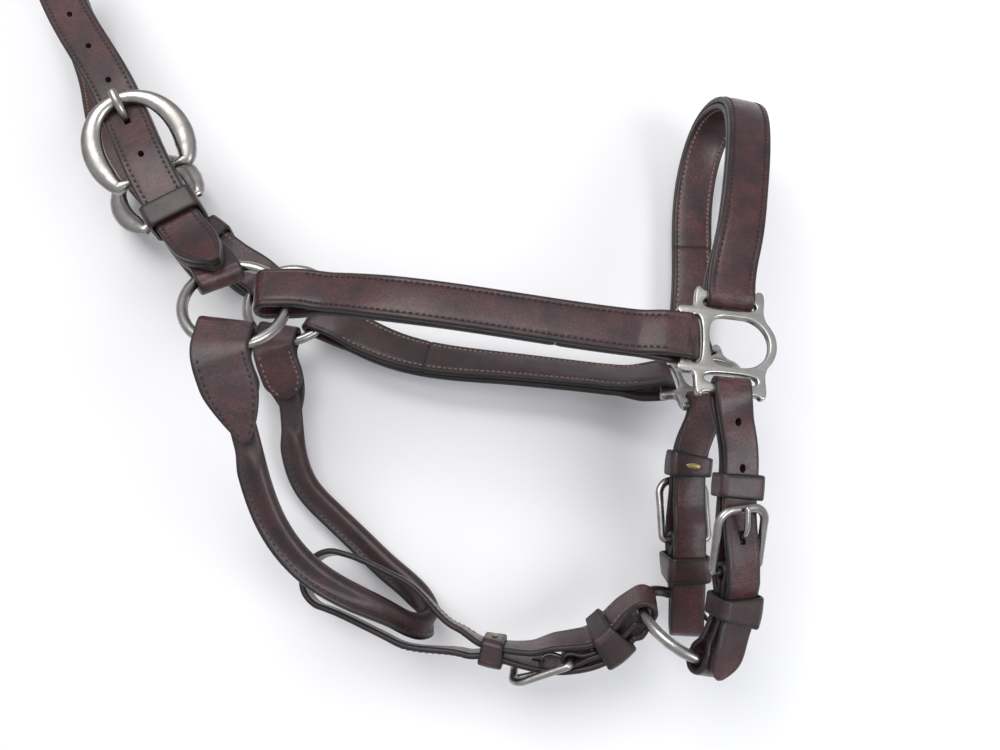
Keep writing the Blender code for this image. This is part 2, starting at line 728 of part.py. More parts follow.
def spread(run, step=8.0):
    """Put rows at even lengths in long stretches, the same in layers that face."""
    rows = [run.rows[0]]
    for row in run.rows[1:]:
        last = rows[-1]
        low, high = sorted((last[0], row[0]))
        stops = [s for s in np.arange(step * (low // step), high, step)
                 if low + 1.5 < s < high - 1.5]
        for s in (stops if row[0] > last[0] else stops[::-1]):
            u = (s - last[0]) / (row[0] - last[0])
            rows.append(tuple(a + (b - a) * u for a, b in zip(last, row)))
        rows.append(row)
    run.rows = rows


def chape(name, guide):
    """A strap folded round a side ring and, thinned, round a crown buckle's bar."""
    length = guide.length
    bar_fold = CROWN_BAR + CLEAR + SKIVED / 2
    run = Run(WIDE, LEATHER)
    run.to(CHAPE_BUTT - CLEAR, -LAYER).to(24, -LAYER)
    run.ease(RING_HOLD, -RING_FOLD)
    run.fold(-RING_SAG, 0, RING_FOLD, 270, 90)
    run.ease(24, LAYER)
    run.to(length - 20, LAYER)
    run.ease(length - 4, bar_fold, SKIVED)
    run.fold(length, 0, bar_fold, 90, -90)
    run.to(length - 4, -bar_fold)
    run.ease(length - 18, -LAYER, LEATHER)
    run.to(CHAPE_BUTT + CLEAR, -LAYER)
    spread(run)
    made = ribbon(name, guide, run, leather())
    hinge = Hinge(guide, length, 0, 1)
    axes = (hinge.front, hinge.across, hinge.up)
    cut(made, block(name + "_slot", hinge.centre, axes, (-7.5, -2.1, -8), (8, 2.1, 8)))
    return made


def crown_strap(name, height, look):
    """One of the crown strap's two layers, pointed at both ends."""
    end = crown.length
    tip = Run(WIDE, LEATHER).to(CROWN_POINT + 3, height).point(0, height, CROWN_POINT, CROWN_BLUNT)
    run = Run(WIDE, LEATHER)
    run.rows = tip.rows[:0:-1]
    run.to(CROWN_POINT + 3, height).to(end - CROWN_POINT - 3, height)
    run.point(end, height, CROWN_POINT, CROWN_BLUNT)
    spread(run, 7.0)
    made = ribbon(name, crown, run, look)
    holes = []
    for hinge, way in ((near_crown_hinge, 1), (far_crown_hinge, -1)):
        middle = crown.near(hinge.at(33.5, 0, 4.0))
        c, t, n, across = crown.frame(middle)
        cutter = block(name + "_slot_%d" % (way + 1), c, (t, across, n),
                       (-5.2, -1.9, height - 2.4), (4.6, 1.9, height + 2.4))
        cut(made, cutter)
        holes += [middle + way * HOLE_PITCH * k for k in (-1, 1, 2, 3)]
    cut(made, punch(name + "_holes", crown, holes, height - 2.4, height + 2.4))
    return made


def tab(name, guide, width, sag):
    """A strap folded round a side ring, its two pointed ends round the throat strap."""
    inner = Run(width, LEATHER).to(TAB_INNER - 17, -TAB_GAP).point(TAB_INNER, -TAB_GAP, 15)
    run = Run(width, LEATHER)
    run.rows = inner.rows[:0:-1]
    run.to(18, -TAB_GAP)
    run.ease(RING_HOLD, -RING_FOLD)
    run.fold(-sag, 0, RING_FOLD, 270, 90)
    run.to(RING_HOLD, RING_FOLD)
    run.ease(18, TAB_GAP)
    run.to(TAB_OUTER - TAB_POINT - 1, TAB_GAP)
    run.point(TAB_OUTER, TAB_GAP, TAB_POINT, TAB_BLUNT)
    spread(run)
    return ribbon(name, guide, run, leather())


def throat_strap():
    """A strap rolled round a cord and stitched, flattened at its ends in the tabs."""
    roll = 4.6
    rolled = [(8.4, -1.5), (8.4, 1.5), (2.6, 2.0)]
    rolled += [(-2.2 + roll * cos(radians(a)), roll * sin(radians(a))) for a in (60, 105, 150)]
    rolled += [(-2.2 - roll, 0.0)]
    rolled += [(x, -y) for x, y in reversed(rolled[2:6])]
    flat = [(6.6, -1.2), (6.6, 1.2), (3.2, 1.3), (0.8, 1.3), (-2.4, 1.3), (-6.0, 1.2), (-6.8, 0.0)]
    flat += [(x, -y) for x, y in reversed(flat[2:6])]
    rows = []
    length = throat.length
    for s in np.linspace(0, length, round(length / 7.0)):
        from_end = min(s, length - s)
        round_part = min(max((from_end - 33) / 14, 0), 1)
        round_part = round_part * round_part * (3 - 2 * round_part)
        row = []
        for (a, b), (c, d) in zip(flat, rolled):
            across = a + (c - a) * round_part
            rise = b + (d - b) * round_part
            row.append(throat.place(s, -across, rise))
        rows.append(row)
    return loft("throat_strap", rows, leather_dark(), smooth=True)


class Buckled:
    """Heights and lengths shared by the three narrow straps with a buckle."""

    def __init__(self, guide, bar, lower_keeper, tip_past, angle, splay, slack):
        self.guide = guide
        self.bar = bar
        self.front = bar - CHIN_REACH
        self.tip = guide.length + tip_past
        self.hinge = Hinge(guide, bar, CHIN_BAR_HEIGHT, -1)
        self.upper_keeper = self.front - CHIN_FRONT_GAP
        self.lower_keeper = bar + lower_keeper
        self.inner_late = -3.9 - splay
        self.billet_late = 6.1 + splay
        self.fit_ring(angle, slack)

    def fit_ring(self, angle, slack):
        """Room for the chin ring's curve across the strap's width, and any slack."""
        curve = RING_RADIUS - (RING_RADIUS ** 2 - NARROW ** 2 / 4) ** 0.5
        _, t, n, _ = self.guide.frame(self.guide.length)
        inwards = -curve * chin_ring.way(angle)
        self.ring_shift = inwards.dot(n) / 2
        self.ring_sag = max(inwards.dot(t), 0.0) + 0.2 + slack
        self.flank = self.guide.length - 3.2 - abs(chin_bar(angle).dot(t)) * NARROW / 2
        self.ring_fold = RING_BAR + CLEAR + LEATHER / 2 + abs(self.ring_shift) + 0.06 * slack
        self.billet_tip = self.ring_shift + self.ring_fold + LEATHER + CLEAR + 0.1


BAR_FOLD = CHIN_BAR + CLEAR + SKIVED / 2
BILLET_LOW = 2.0       # the pierced end before the frame
BILLET_BAR = 7.75      # over the bar
INNER_HIGH = -3.4
INNER_BAR = -6.1


def buckled_strap(name, plan, loop):
    """A strap folded over its buckle's bar, round the chin ring and round a rail."""
    length = plan.guide.length
    bar = plan.bar
    top = CHIN_BAR_HEIGHT + BAR_FOLD
    under = CHIN_BAR_HEIGHT - BAR_FOLD
    run = Run(NARROW, SKIVED - 0.6)
    run.to(bar + 14, -0.8).to(bar + 8, -0.8)
    run.ease(bar + 1, under, SKIVED)
    run.fold(bar, CHIN_BAR_HEIGHT, BAR_FOLD, 270, 90)
    run.ease(bar + 11, 2.2, LEATHER)
    run.to(plan.flank - 6.8, 2.2)
    run.ease(plan.flank, plan.ring_shift + plan.ring_fold)
    run.fold(length + plan.ring_sag, plan.ring_shift, plan.ring_fold, 90, -90)
    run.to(plan.flank, plan.ring_shift - plan.ring_fold)
    run.ease(plan.flank - 6.8, plan.inner_late)
    run.to(bar + 13, plan.inner_late)
    run.ease(bar + 2, INNER_BAR)
    run.to(bar - 6, INNER_BAR)
    run.ease(bar - 22, INNER_HIGH)
    loop(run)
    run.to(plan.front - 6.5, BILLET_LOW)
    run.to(bar - 2, BILLET_BAR).to(bar + 5, BILLET_BAR)
    run.ease(bar + 14, plan.billet_late)
    run.to(plan.lower_keeper + 9, plan.billet_late)
    run.ease(plan.tip - 12, plan.billet_tip)
    run.point(plan.tip, plan.billet_tip, 12)
    spread(run)
    made = ribbon(name, plan.guide, run, leather())
    hinge = plan.hinge
    axes = (hinge.front, hinge.across, hinge.up)
    cut(made, block(name + "_eye_slot", hinge.centre, axes, (-6, -1.7, -5.1), (2.6, 1.7, 5.05)))
    cut(made, block(name + "_eye_front", hinge.centre, axes, (2.4, -1.7, -5.1), (5.6, 1.7, 4.3)))
    cut(made, block(name + "_tongue_slot", hinge.centre, axes, (14.6, -1.6, 0.6), (21.4, 1.6, 8.4)))
    return made


def rail_loop(run):
    run.to(20, INNER_HIGH)
    run.ease(4, -RAIL_FOLD)
    run.fold(0, 0, RAIL_FOLD, 270, 90)
    run.ease(20, BILLET_LOW)


def throat_loop(run):
    """The wide loop that the throat strap hangs in."""
    run.to(108, INNER_HIGH)
    run.ease(90, -7.0, steps=3)
    run.ease(50, -16.0, steps=6)
    run.to(20, -15.6)
    run.fold(14, 0, 15.5, 262, 98, steps=12)
    run.to(20, 15.6)
    run.ease(62, 15.0, steps=4)
    run.ease(99, 4.4, steps=5)
    run.ease(110, BILLET_LOW, steps=2)


def chin_plans():
    """The three narrow straps: bar, lower keeper, tip, splay and slack of each."""
    return {
        "near_chin": Buckled(near_chin, 93.0, 20.0, 4.0, NEAR_CHIN_ANGLE, 0.0, 0.0),
        "far_chin": Buckled(far_chin, far_chin.length - 35.0, 15.5, 9.0, FAR_CHIN_ANGLE,
                            2.9, 11.5),
        "connector": Buckled(connector, connector.length - 47.5, 22.0, 0.0,
                             CONNECTOR_ANGLE, 1.6, 0.0)}


def buckled_pieces(side, plan, loop, holes):
    """A buckled strap with its frame, tongue, keepers and staple."""
    made = buckled_strap(side + "_strap", plan, loop)
    if holes:
        cut(made, punch(side + "_holes", plan.guide, holes, 0.2, 6.8))
    chin_frame(side + "_buckle_frame", plan.hinge)
    chin_tongue(side + "_buckle_tongue", plan.hinge)
    wide = NARROW / 2 + 0.9
    upper_low, upper_high = INNER_HIGH - 2.5, BILLET_LOW + 2.9
    keeper(side + "_upper_keeper", plan.guide, plan.upper_keeper, 6.3, wide,
           upper_low, upper_high, leather_dark())
    keeper(side + "_lower_keeper", plan.guide, plan.lower_keeper, 7.0, wide,
           plan.inner_late - 2.6, plan.billet_late + 2.6, leather_dark())
    staple(side + "_keeper_staple", plan.guide, plan.upper_keeper, 2.1 - upper_low)


def clear_scene():
    for found in list(bpy.data.objects):
        bpy.data.objects.remove(found)


def settle():
    """Put the headcollar's middle over the origin and its lowest point on the ground."""
    bpy.context.view_layer.update()
    made = list(bpy.data.objects)
    points = np.array([found.matrix_world @ vertex.co for found in made
                       if not found.hide_render for vertex in found.data.vertices])
    low = points.min(axis=0)
    middle = (low + points.max(axis=0)) / 2
    for found in made:
        found.location -= Vector((middle[0], middle[1], low[2]))


def side_pieces(side, cheek, butt, sag, chape_line, hinge, ring_plate, plate):
    ring(side + "_ring", ring_plate)
    square(side + "_square", plate)
    folded_strap(side + "_cheek_strap", cheek, butt, RING_FOLD, RAIL_FOLD, sag, 0.0)
    chape(side + "_crown_chape", chape_line)
    crown_frame(side + "_crown_buckle_frame", hinge)
    crown_tongue(side + "_crown_buckle_tongue", hinge)
    keeper(side + "_crown_keeper", chape_line, CROWN_KEEPER_AT, 6.8, WIDE / 2 + 0.9,
           -4.5, 14.2, leather_dark())


def build():
    clear_scene()
    side_pieces("near", near_cheek, NEAR_CHEEK_BUTT, NEAR_CHEEK_SAG, near_chape,
                near_crown_hinge, near_ring, near_square)
    side_pieces("far", far_cheek, FAR_CHEEK_BUTT, RING_SAG, far_chape,
                far_crown_hinge, far_ring, far_square)
    tab("near_throat_tab", near_tab, NEAR_TAB_WIDTH, NEAR_TAB_SAG)
    tab("far_throat_tab", far_tab, WIDE, RING_SAG)
    folded_strap("nose_strap", nose, NOSE_BUTT, RAIL_FOLD, RAIL_FOLD, 0.0, 0.0)
    crown_strap("crown_strap_outer", LAYER, leather())
    crown_strap("crown_strap_lining", -LAYER, leather_dark())
    throat_strap()
    ring("chin_ring", chin_ring)
    plans = chin_plans()
    buckled_pieces("near_chin", plans["near_chin"], rail_loop, CHIN_HOLES)
    buckled_pieces("far_chin", plans["far_chin"], rail_loop, CHIN_HOLES)
    buckled_pieces("connector", plans["connector"], throat_loop, ())
    settle()


build()
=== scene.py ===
"""The looks of a leather headcollar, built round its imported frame: the stitched
and folded straps, cast squares, rings, buckles and keepers in fine detail.

Lengths in the layout are millimetres. SHIFT moves the layout onto the frame.
"""
import json
from math import cos, pi, radians, sin

import bmesh
import bpy
import numpy as np
from mathutils import Matrix, Vector


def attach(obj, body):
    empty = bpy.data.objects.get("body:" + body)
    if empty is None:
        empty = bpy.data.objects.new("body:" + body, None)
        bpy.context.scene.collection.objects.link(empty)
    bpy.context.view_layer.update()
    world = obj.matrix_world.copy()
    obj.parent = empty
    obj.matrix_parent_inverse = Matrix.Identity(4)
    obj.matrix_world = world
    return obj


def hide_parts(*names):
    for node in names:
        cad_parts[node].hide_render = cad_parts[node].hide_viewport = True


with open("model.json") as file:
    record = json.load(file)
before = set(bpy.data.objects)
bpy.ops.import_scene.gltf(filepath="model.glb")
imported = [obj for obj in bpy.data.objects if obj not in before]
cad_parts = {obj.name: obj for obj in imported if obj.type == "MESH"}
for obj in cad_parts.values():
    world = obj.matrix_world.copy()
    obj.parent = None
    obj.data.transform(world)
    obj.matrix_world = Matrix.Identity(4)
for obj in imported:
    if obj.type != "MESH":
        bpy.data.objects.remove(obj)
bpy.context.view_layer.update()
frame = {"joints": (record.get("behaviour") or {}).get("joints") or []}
ROOT = "headcollar"
MM = 0.001
CLEAR = 0.4            # running gap between two pieces that touch

# Straps
WIDE = 25.0            # cheek, nose, crown and throat tab straps
NARROW = 19.0          # chin and connecting straps
LEATHER = 3.2          # one layer
PLUMP = 3.7            # a layer of a stitched pair, which touches its partner
SKIVED = 2.4           # a layer thinned to fold round a buckle bar
LAYER = LEATHER / 2 + CLEAR     # height of each layer of a stitched pair

# Round fittings
RING_RADIUS = 27.0     # middle of the bar, side rings and chin ring
RING_BAR = 3.0

# Crown buckles: a horseshoe frame on a straight bar
CROWN_BAR = 2.4
CROWN_REACH = 45.5     # bar to front, centre to centre
CROWN_HALF_WIDTH = 26.6
CROWN_FAT = 1.7        # how much wider the horseshoe's sides grow on either side
CROWN_TONGUE = 1.4
FATTER_SIDES = 1.1     # the looks are fuller here than the working model's solids
FATTER_TONGUE = 0.3
CROWN_TILT = radians(12.5)

# Chin and connector buckles: a round cornered frame
CHIN_BAR = 2.1
CHIN_REACH = 33.6
CHIN_HALF_WIDTH = 13.8
CHIN_TONGUE = 1.1
CHIN_TILT = radians(11.7)
CHIN_BAR_HEIGHT = 0.9  # bar above the strap's guide
CHIN_FRONT_GAP = 9.0   # frame front to the middle of the upper keeper

NEAR_TAB_WIDTH = 29.0
SQUARE_HALF_THICK = 2.3
CROWN_HOLE = 1.9       # radii
CHIN_HOLE = 2.0
HOLE_PITCH = 28.0      # along the crown strap
CHIN_HOLES = (16, 41)  # along the two chin straps, from the square's rail

SPREAD_BY = 26.0       # a wide strap's layers part this far before a bar
FOLD_FROM = 9.0        # and are as far apart as their fold this far before it
NEAR_CHEEK_BUTT = 150.0         # where a folded strap's two ends meet
FAR_CHEEK_BUTT = 68.0
NOSE_BUTT = 268.0
CHAPE_BUTT = 38.0
CROWN_KEEPER_AT = 45.0
CROWN_PIN_AT = 33.5    # where a tongue goes through the crown strap, from the bar
CROWN_POINT = 25.0     # length of the crown strap's pointed tips
CROWN_BLUNT = 1.9      # how full the point is: 1 is a straight taper

# Keepers and their staples
CROWN_KEEPER_HALF = 6.8         # half lengths along the strap
UPPER_KEEPER_HALF = 6.3
LOWER_KEEPER_HALF = 7.0
KEEPER_ROOM = 0.9      # beyond either edge of the strap inside
STAPLE_HALF_WIDTH = 4.2
STAPLE_HALF_HEIGHT = 1.5

# Stitching
STITCH_INSET = 3.3     # from a wide strap's edge
STITCH_LIFT = -0.06    # a little below the face
STITCH_PITCH = 3.3

# The view, on the layout's axes
CAMERA_AT = (0.0, -116.5, 534.7)
CAMERA_TILT = radians(15)
SENSOR = 36.0
LENS = 0.866 * SENSOR  # sees 60 degrees from side to side

# ---------------------------------------------------------------- geometry

def unit(vector):
    """The same direction with length 1."""
    vector = np.asarray(vector, float)
    return vector / np.linalg.norm(vector)


def spline(knots, points, at, first_way=None, last_way=None):
    """A cubic curve through points at the given knots, its end slopes free or set."""
    count = len(knots)
    step = np.diff(knots)
    system = np.eye(count)
    right = np.zeros((count, points.shape[1]))
    slope = np.diff(points, axis=0) / step[:, None]
    if first_way is not None:
        system[0, :2] = 2 * step[0], step[0]
        right[0] = 6 * (slope[0] - unit(first_way))
    if last_way is not None:
        system[-1, -2:] = step[-1], 2 * step[-1]
        right[-1] = 6 * (unit(last_way) - slope[-1])
    for i in range(1, count - 1):
        system[i, i - 1:i + 2] = step[i - 1], 2 * (step[i - 1] + step[i]), step[i]
        right[i] = 6 * (slope[i] - slope[i - 1])
    bend = np.linalg.solve(system, right)
    i = np.clip(np.searchsorted(knots, at) - 1, 0, count - 2)
    u = (at - knots[i])[:, None]
    v = (knots[i + 1] - at)[:, None]
    h = step[i][:, None]
    return (bend[i] * v ** 3 + bend[i + 1] * u ** 3) / (6 * h) + (
        (points[i] / h - bend[i] * h / 6) * v + (points[i + 1] / h - bend[i + 1] * h / 6) * u)


class Plate:
    """The axes of a flat fitting: x and y in its plane, h along its normal."""

    def __init__(self, centre, normal, turn=0.0):
        self.centre = np.array(centre, float)
        self.n = unit(normal)
        flat_x = unit(np.array([1.0, 0, 0]) - self.n[0] * self.n)
        flat_y = np.cross(self.n, flat_x)
        self.x = cos(turn) * flat_x + sin(turn) * flat_y
        self.y = np.cross(self.n, self.x)

    def at(self, x, y, h=0.0):
        return self.centre + x * self.x + y * self.y + h * self.n

    def way(self, angle):
        """The direction outwards at an angle in the plate's plane."""
        return cos(angle) * self.x + sin(angle) * self.y


class Guide:
    """The middle line of a strap and the way its outer face looks along it."""

    def __init__(self, points, faces, first_way=None, last_way=None):
        points = np.array(points, float)
        faces = np.array([unit(face) for face in faces])
        knots = np.concatenate([[0], np.cumsum(np.linalg.norm(np.diff(points, axis=0), axis=1))])
        fine = np.linspace(0, knots[-1], 60 * len(points))
        self.c = spline(knots, points, fine, first_way, last_way)
        faces = np.array([np.interp(fine, knots, faces[:, k]) for k in range(3)]).T
        self.t = np.gradient(self.c, axis=0)
        self.t /= np.linalg.norm(self.t, axis=1)[:, None]
        faces -= (faces * self.t).sum(1)[:, None] * self.t
        self.n = faces / np.linalg.norm(faces, axis=1)[:, None]
        steps = np.linalg.norm(np.diff(self.c, axis=0), axis=1)
        self.s = np.concatenate([[0], np.cumsum(steps)])
        self.length = self.s[-1]

    def frame(self, s):
        """Centre, direction, outer normal and width direction at length s."""
        inside = min(max(s, 0.0), self.length)
        read = [np.array([np.interp(inside, self.s, rows[:, k]) for k in range(3)])
                for rows in (self.c, self.t, self.n)]
        t = unit(read[1])
        n = unit(read[2] - read[2].dot(t) * t)
        return read[0] + (s - inside) * t, t, n, np.cross(n, t)

    def place(self, s, b=0.0, h=0.0):
        c, t, n, across = self.frame(s)
        return c + b * across + h * n

    def near(self, point):
        """The length at which the guide passes closest to a point."""
        return self.s[np.argmin(((self.c - point) ** 2).sum(1))]


class Run:
    """A strap seen from its edge: where its middle lies along and above a guide."""

    def __init__(self, width, thick):
        self.width = width
        self.thick = thick
        self.rows = []

    def to(self, s, h):
        self.rows.append((s, h, self.thick, self.width))
        return self

    def ease(self, s, h, thick=None, steps=12):
        """A soft step from the last place to a new one."""
        s0, h0, thick0, _ = self.rows[-1]
        self.thick = thick if thick else self.thick
        for k in range(1, steps + 1):
            u = k / steps
            soft = u * u * (3 - 2 * u)
            self.rows.append((s0 + (s - s0) * u, h0 + (h - h0) * soft,
                              thick0 + (self.thick - thick0) * u, self.width))
        return self

    def fold(self, s, h, radius, start, end, steps=26):
        """An arc round a bar, angles in degrees from the guide's direction."""
        for k in range(steps + 1):
            a = radians(start + (end - start) * k / steps)
            self.rows.append((s + radius * cos(a), h + radius * sin(a), self.thick, self.width))
        return self

    def point(self, s, h, reach, blunt=2.2, steps=16):
        """A tapered end whose tip lies at s, reach millimetres long."""
        way = 1 if s > self.rows[-1][0] else -1
        h0 = self.rows[-1][1]
        s0 = s - way * reach
        for k in range(steps + 1):
            u = k / steps
            width = self.width * (0.16 + 0.84 * (1 - u ** blunt))
            self.rows.append((s0 + way * reach * u, h0 + (h - h0) * u, self.thick, width))
        return self


# ------------------------------------------------------------------ layout

def square_outline():
    """The outer edge of a cast square, clockwise from the left rail."""
    half = [(-29.7, 13.6), (-31.8, 15.4), (-31.2, 18.0), (-28.4, 19.0), (-22.4, 18.6),
            (-22.2, 27.0), (-21.2, 30.6), (-18.6, 31.2), (-17.0, 28.8), (10.4, 28.8),
            (12.0, 31.0), (14.6, 30.2), (15.4, 26.5), (14.6, 18.0)]
    arc = [(3 + 18.5 * cos(radians(a)), 18.5 * sin(radians(a))) for a in range(45, -46, -10)]
    return half + arc + [(x, -y) for x, y in reversed(half)]


def square_openings():
    """The D and the three strap slots of a cast square."""
    arc = [(3 + 14.2 * cos(radians(a)), 14.2 * sin(radians(a))) for a in range(90, -91, -15)]
    d_opening = [(-14.4, -14.2), (-14.4, 14.2)] + arc
    slot_left = [(-25.2, -13.7), (-25.2, 13.7), (-18.3, 13.7), (-18.3, -13.7)]
    slot_top = [(-17.3, 18.2), (-17.3, 24.3), (10.4, 24.3), (10.4, 18.2)]
    slot_bottom = [(x, -y) for x, y in slot_top]
    return d_opening, slot_left, slot_top, slot_bottom


RAIL_REACH = 27.4      # middle of a square's left rail from its origin
RAIL_RISE = 26.5       # middle of its top and bottom rails
RAIL_MIDDLE = -3.5     # middle of the top and bottom slots


class Hinge:
    """A buckle's own axes: x from its bar to its front, up off the strap."""

    def __init__(self, guide, s, h, way):
        c, t, self.up, _ = guide.frame(s)
        self.centre = c + h * self.up
        self.front = way * t
        self.across = np.cross(self.up, self.front)

    def at(self, x, y, z):
        return self.centre + x * self.front + y * self.across + z * self.up

    def lifted(self, x, y, tilt):
        """A place in the plane of the frame, which tilts about its bar."""
        return self.at(x * cos(tilt), y, x * sin(tilt))

    def frame_up(self, tilt):
        return cos(tilt) * self.up - sin(tilt) * self.front


near_ring = Plate((-141.5, 39.5, 98.0), (0.10, 0.33, 0.94))
far_ring = Plate((-133.5, 69.0, 15.0), (0.0, 0.22, 0.97))
chin_ring = Plate((100.5, -126.0, 46.0), (0.42, 0.73, 0.53), radians(-30))
near_square = Plate((123.7, 17.0, 100.0), (0.06, 0.10, 0.99), radians(-5))
far_square = Plate((125.0, 19.0, 28.0), (-0.10, 0.66, 0.74), radians(2))

NEAR_CHEEK_ANGLE = radians(21)
NEAR_CHEEK_WAY = radians(6)      # it leaves its ring askew, so its fold is roomier
NEAR_CROWN_ANGLE = radians(122)
NEAR_TAB_ANGLE = radians(-94)
FAR_CHEEK_ANGLE = radians(-24)
FAR_CROWN_ANGLE = radians(137)
FAR_TAB_ANGLE = radians(-101)
NEAR_CHIN_ANGLE = radians(-41)
FAR_CHIN_ANGLE = radians(106)
CONNECTOR_ANGLE = radians(204)
RING_SAG = 4.6         # a wide fold's arc lies this far inside the side ring's bar
RING_HOLD = 4.4        # and its layers part this far beyond the bar
NEAR_CHEEK_SAG = 9.6
NEAR_TAB_SAG = 9.0
RING_FOLD = RING_BAR + CLEAR + LEATHER / 2
RAIL_FOLD = 3.6 + LEATHER / 2


def ring_bar(plate, angle):
    """A place on the middle of a ring's bar."""
    return plate.centre + RING_RADIUS * plate.way(angle)


def square_to(bar, way):
    """A direction turned square to a bar, so that a fold lies along the bar."""
    way = np.array(way, float)
    return unit(way - way.dot(bar) * bar)


def cheek_guide(ring_plate, angle, first_way, square_plate, middle, middle_faces, side):
    """From a ring's bar to a square's left rail."""
    points = [ring_bar(ring_plate, angle)] + middle + [square_plate.at(-RAIL_REACH, 0)]
    faces = [side * ring_plate.n] + middle_faces + [side * square_plate.n]
    return Guide(points, faces, first_way, square_plate.x)


near_cheek = cheek_guide(near_ring, NEAR_CHEEK_ANGLE, near_ring.way(NEAR_CHEEK_WAY), near_square,
                         [(-63, 41.5, 103), (-10, 34.0, 104), (52, 24.5, 103)],
                         [(0, 0.2, 0.98), (0, 0.18, 0.98), (0.03, 0.15, 0.98)], 1)
far_cheek = cheek_guide(far_ring, FAR_CHEEK_ANGLE, far_ring.way(FAR_CHEEK_ANGLE), far_square,
                        [(-72, 41, 15), (0, 27.5, 15), (56, 20.5, 18)],
                        [(0, -0.38, -0.92), (0, -0.6, -0.8), (0.05, -0.68, -0.73)], -1)

# The nose strap goes from the near square's top rail round to the far one's.
nose = Guide(
    [near_square.at(RAIL_MIDDLE, RAIL_RISE), (129, 74, 99), (137, 108, 93), (145, 150, 82),
     (147, 184, 58), (140, 187, 32), (130, 158, 14), (125.5, 116, 9.2), (123, 76, 9.0),
     far_square.at(RAIL_MIDDLE, RAIL_RISE)],
    [near_square.n, (0.14, 0.15, 0.97), (0.22, 0.28, 0.93), (0.2, 0.62, 0.75),
     (0.12, 0.98, 0.12), (0.05, 0.80, -0.60), (0.0, 0.42, -0.91), (0.0, 0.06, -1.0),
     (0.0, -0.1, -1.0), -far_square.n],
    near_square.y, -far_square.y)


def chape_guide(ring_plate, angle, middle, end, end_way, side):
    """From a ring's bar to a crown buckle's bar."""
    faces = [side * ring_plate.n, (0, 0.12 * side, side), (0, 0.06 * side, side)]
    return Guide([ring_bar(ring_plate, angle)] + middle + [end], faces + faces[-1:],
                 ring_plate.way(angle), end_way)


near_chape = chape_guide(near_ring, NEAR_CROWN_ANGLE, [(-169.5, 77, 86), (-184, 99, 86)],
                         (-197.5, 122, 88.0), (-0.45, 0.89, 0.08), 1)
far_chape = chape_guide(far_ring, FAR_CROWN_ANGLE, [(-171.5, 99.5, 15), (-191.5, 114.5, 16.5)],
                        (-213.5, 132.5, 19.0), (-0.66, 0.75, 0.04), -1)
near_crown_hinge = Hinge(near_chape, near_chape.length, 0, 1)
far_crown_hinge = Hinge(far_chape, far_chape.length, 0, 1)

CROWN_OVER_BAR = 9.6   # middle of the crown strap over the buckle's bar
CROWN_UNDER_FRONT = 2.2


def crown_end(chape, hinge):
    """The crown strap's middle from its tip to past the buckle's front."""
    return [chape.place(-9, 0, 14.0), chape.place(18, 0, 10.9), chape.place(40, 0, 8.6),
            hinge.at(0, 0, CROWN_OVER_BAR), hinge.at(24, 0, 5.6),
            hinge.at(CROWN_REACH - 3, 0, CROWN_UNDER_FRONT),
            hinge.at(CROWN_REACH + 9, 0, CROWN_UNDER_FRONT - 0.8)]


def crown_faces(chape, hinge):
    """How the crown strap faces at each place of crown_end."""
    return [chape.frame(0)[2], chape.frame(18)[2], chape.frame(40)[2],
            hinge.up, hinge.up, hinge.up, hinge.up]


crown = Guide(
    crown_end(near_chape, near_crown_hinge)
    + [(-253, 219, 90), (-285, 281, 79), (-306, 317, 46), (-300, 288, 14), (-276, 231, 9.5)]
    + crown_end(far_chape, far_crown_hinge)[::-1],
    crown_faces(near_chape, near_crown_hinge)
    + [(-0.05, 0.15, 0.98), (-0.28, 0.5, 0.82), (-0.48, 0.86, -0.1), (-0.15, 0.3, -0.95),
       (0.0, 0.0, -1.0)]
    + crown_faces(far_chape, far_crown_hinge)[::-1])

# Throat tabs hang from the side rings, and the rolled throat strap joins them.
near_tab = Guide([ring_bar(near_ring, NEAR_TAB_ANGLE), (-136.5, -11, 105.5), (-129, -36, 98)],
                 [near_ring.n, (0.05, 0.12, 0.99), (0.05, 0.12, 0.99)],
                 near_ring.way(NEAR_TAB_ANGLE), (0.25, -0.93, -0.26))
far_tab = Guide([ring_bar(far_ring, FAR_TAB_ANGLE), (-132, 14, 14), (-128, -10, 10)],
                [-far_ring.n, (0, -0.1, -0.99), (0, -0.05, -1.0)],
                far_ring.way(FAR_TAB_ANGLE), (0.12, -0.98, -0.1))
TAB_OUTER = 53.0       # reach of a tab's outer end, and of its shorter inner one
TAB_INNER = 38.0
TAB_GAP = LEATHER / 2 + CLEAR + 1.5
TAB_POINT = 32.0       # length of a tab's outer point
TAB_BLUNT = 1.6
IN_TAB = 22.0          # the throat strap's ends start here, inside the tabs
tab_stops = (IN_TAB, 33.0, 44.0, 55.0)

throat = Guide(
    [near_tab.place(at) for at in tab_stops]
    + [(-117, -75, 81), (-100, -97, 68), (-79, -110.5, 55), (-60, -120, 42), (-46, -126, 28),
       (-40, -121, 15.5), (-48, -108.5, 11), (-64, -95, 8.5), (-82, -79, 6.5), (-103, -60, 5.8),
       (-118, -44, 6.0)]
    + [far_tab.place(at) for at in tab_stops[::-1]],
    [near_tab.frame(at)[2] for at in tab_stops]
    + [(0.15, 0.15, 0.98), (0.2, 0.2, 0.95), (0.2, 0.35, 0.9), (0.3, 0.6, 0.7),
       (0.7, 0.4, 0.5), (0.9, 0.1, -0.3), (0.4, -0.1, -0.9), (0.1, -0.1, -0.98),
       (0, -0.1, -0.99), (0, -0.05, -1.0), (0, 0, -1.0)]
    + [far_tab.frame(at)[2] for at in tab_stops[::-1]],
    near_tab.frame(IN_TAB)[1], -far_tab.frame(IN_TAB)[1])

def chin_bar(angle):
    """The direction of the chin ring's bar at an angle."""
    return chin_ring.way(angle + pi / 2)


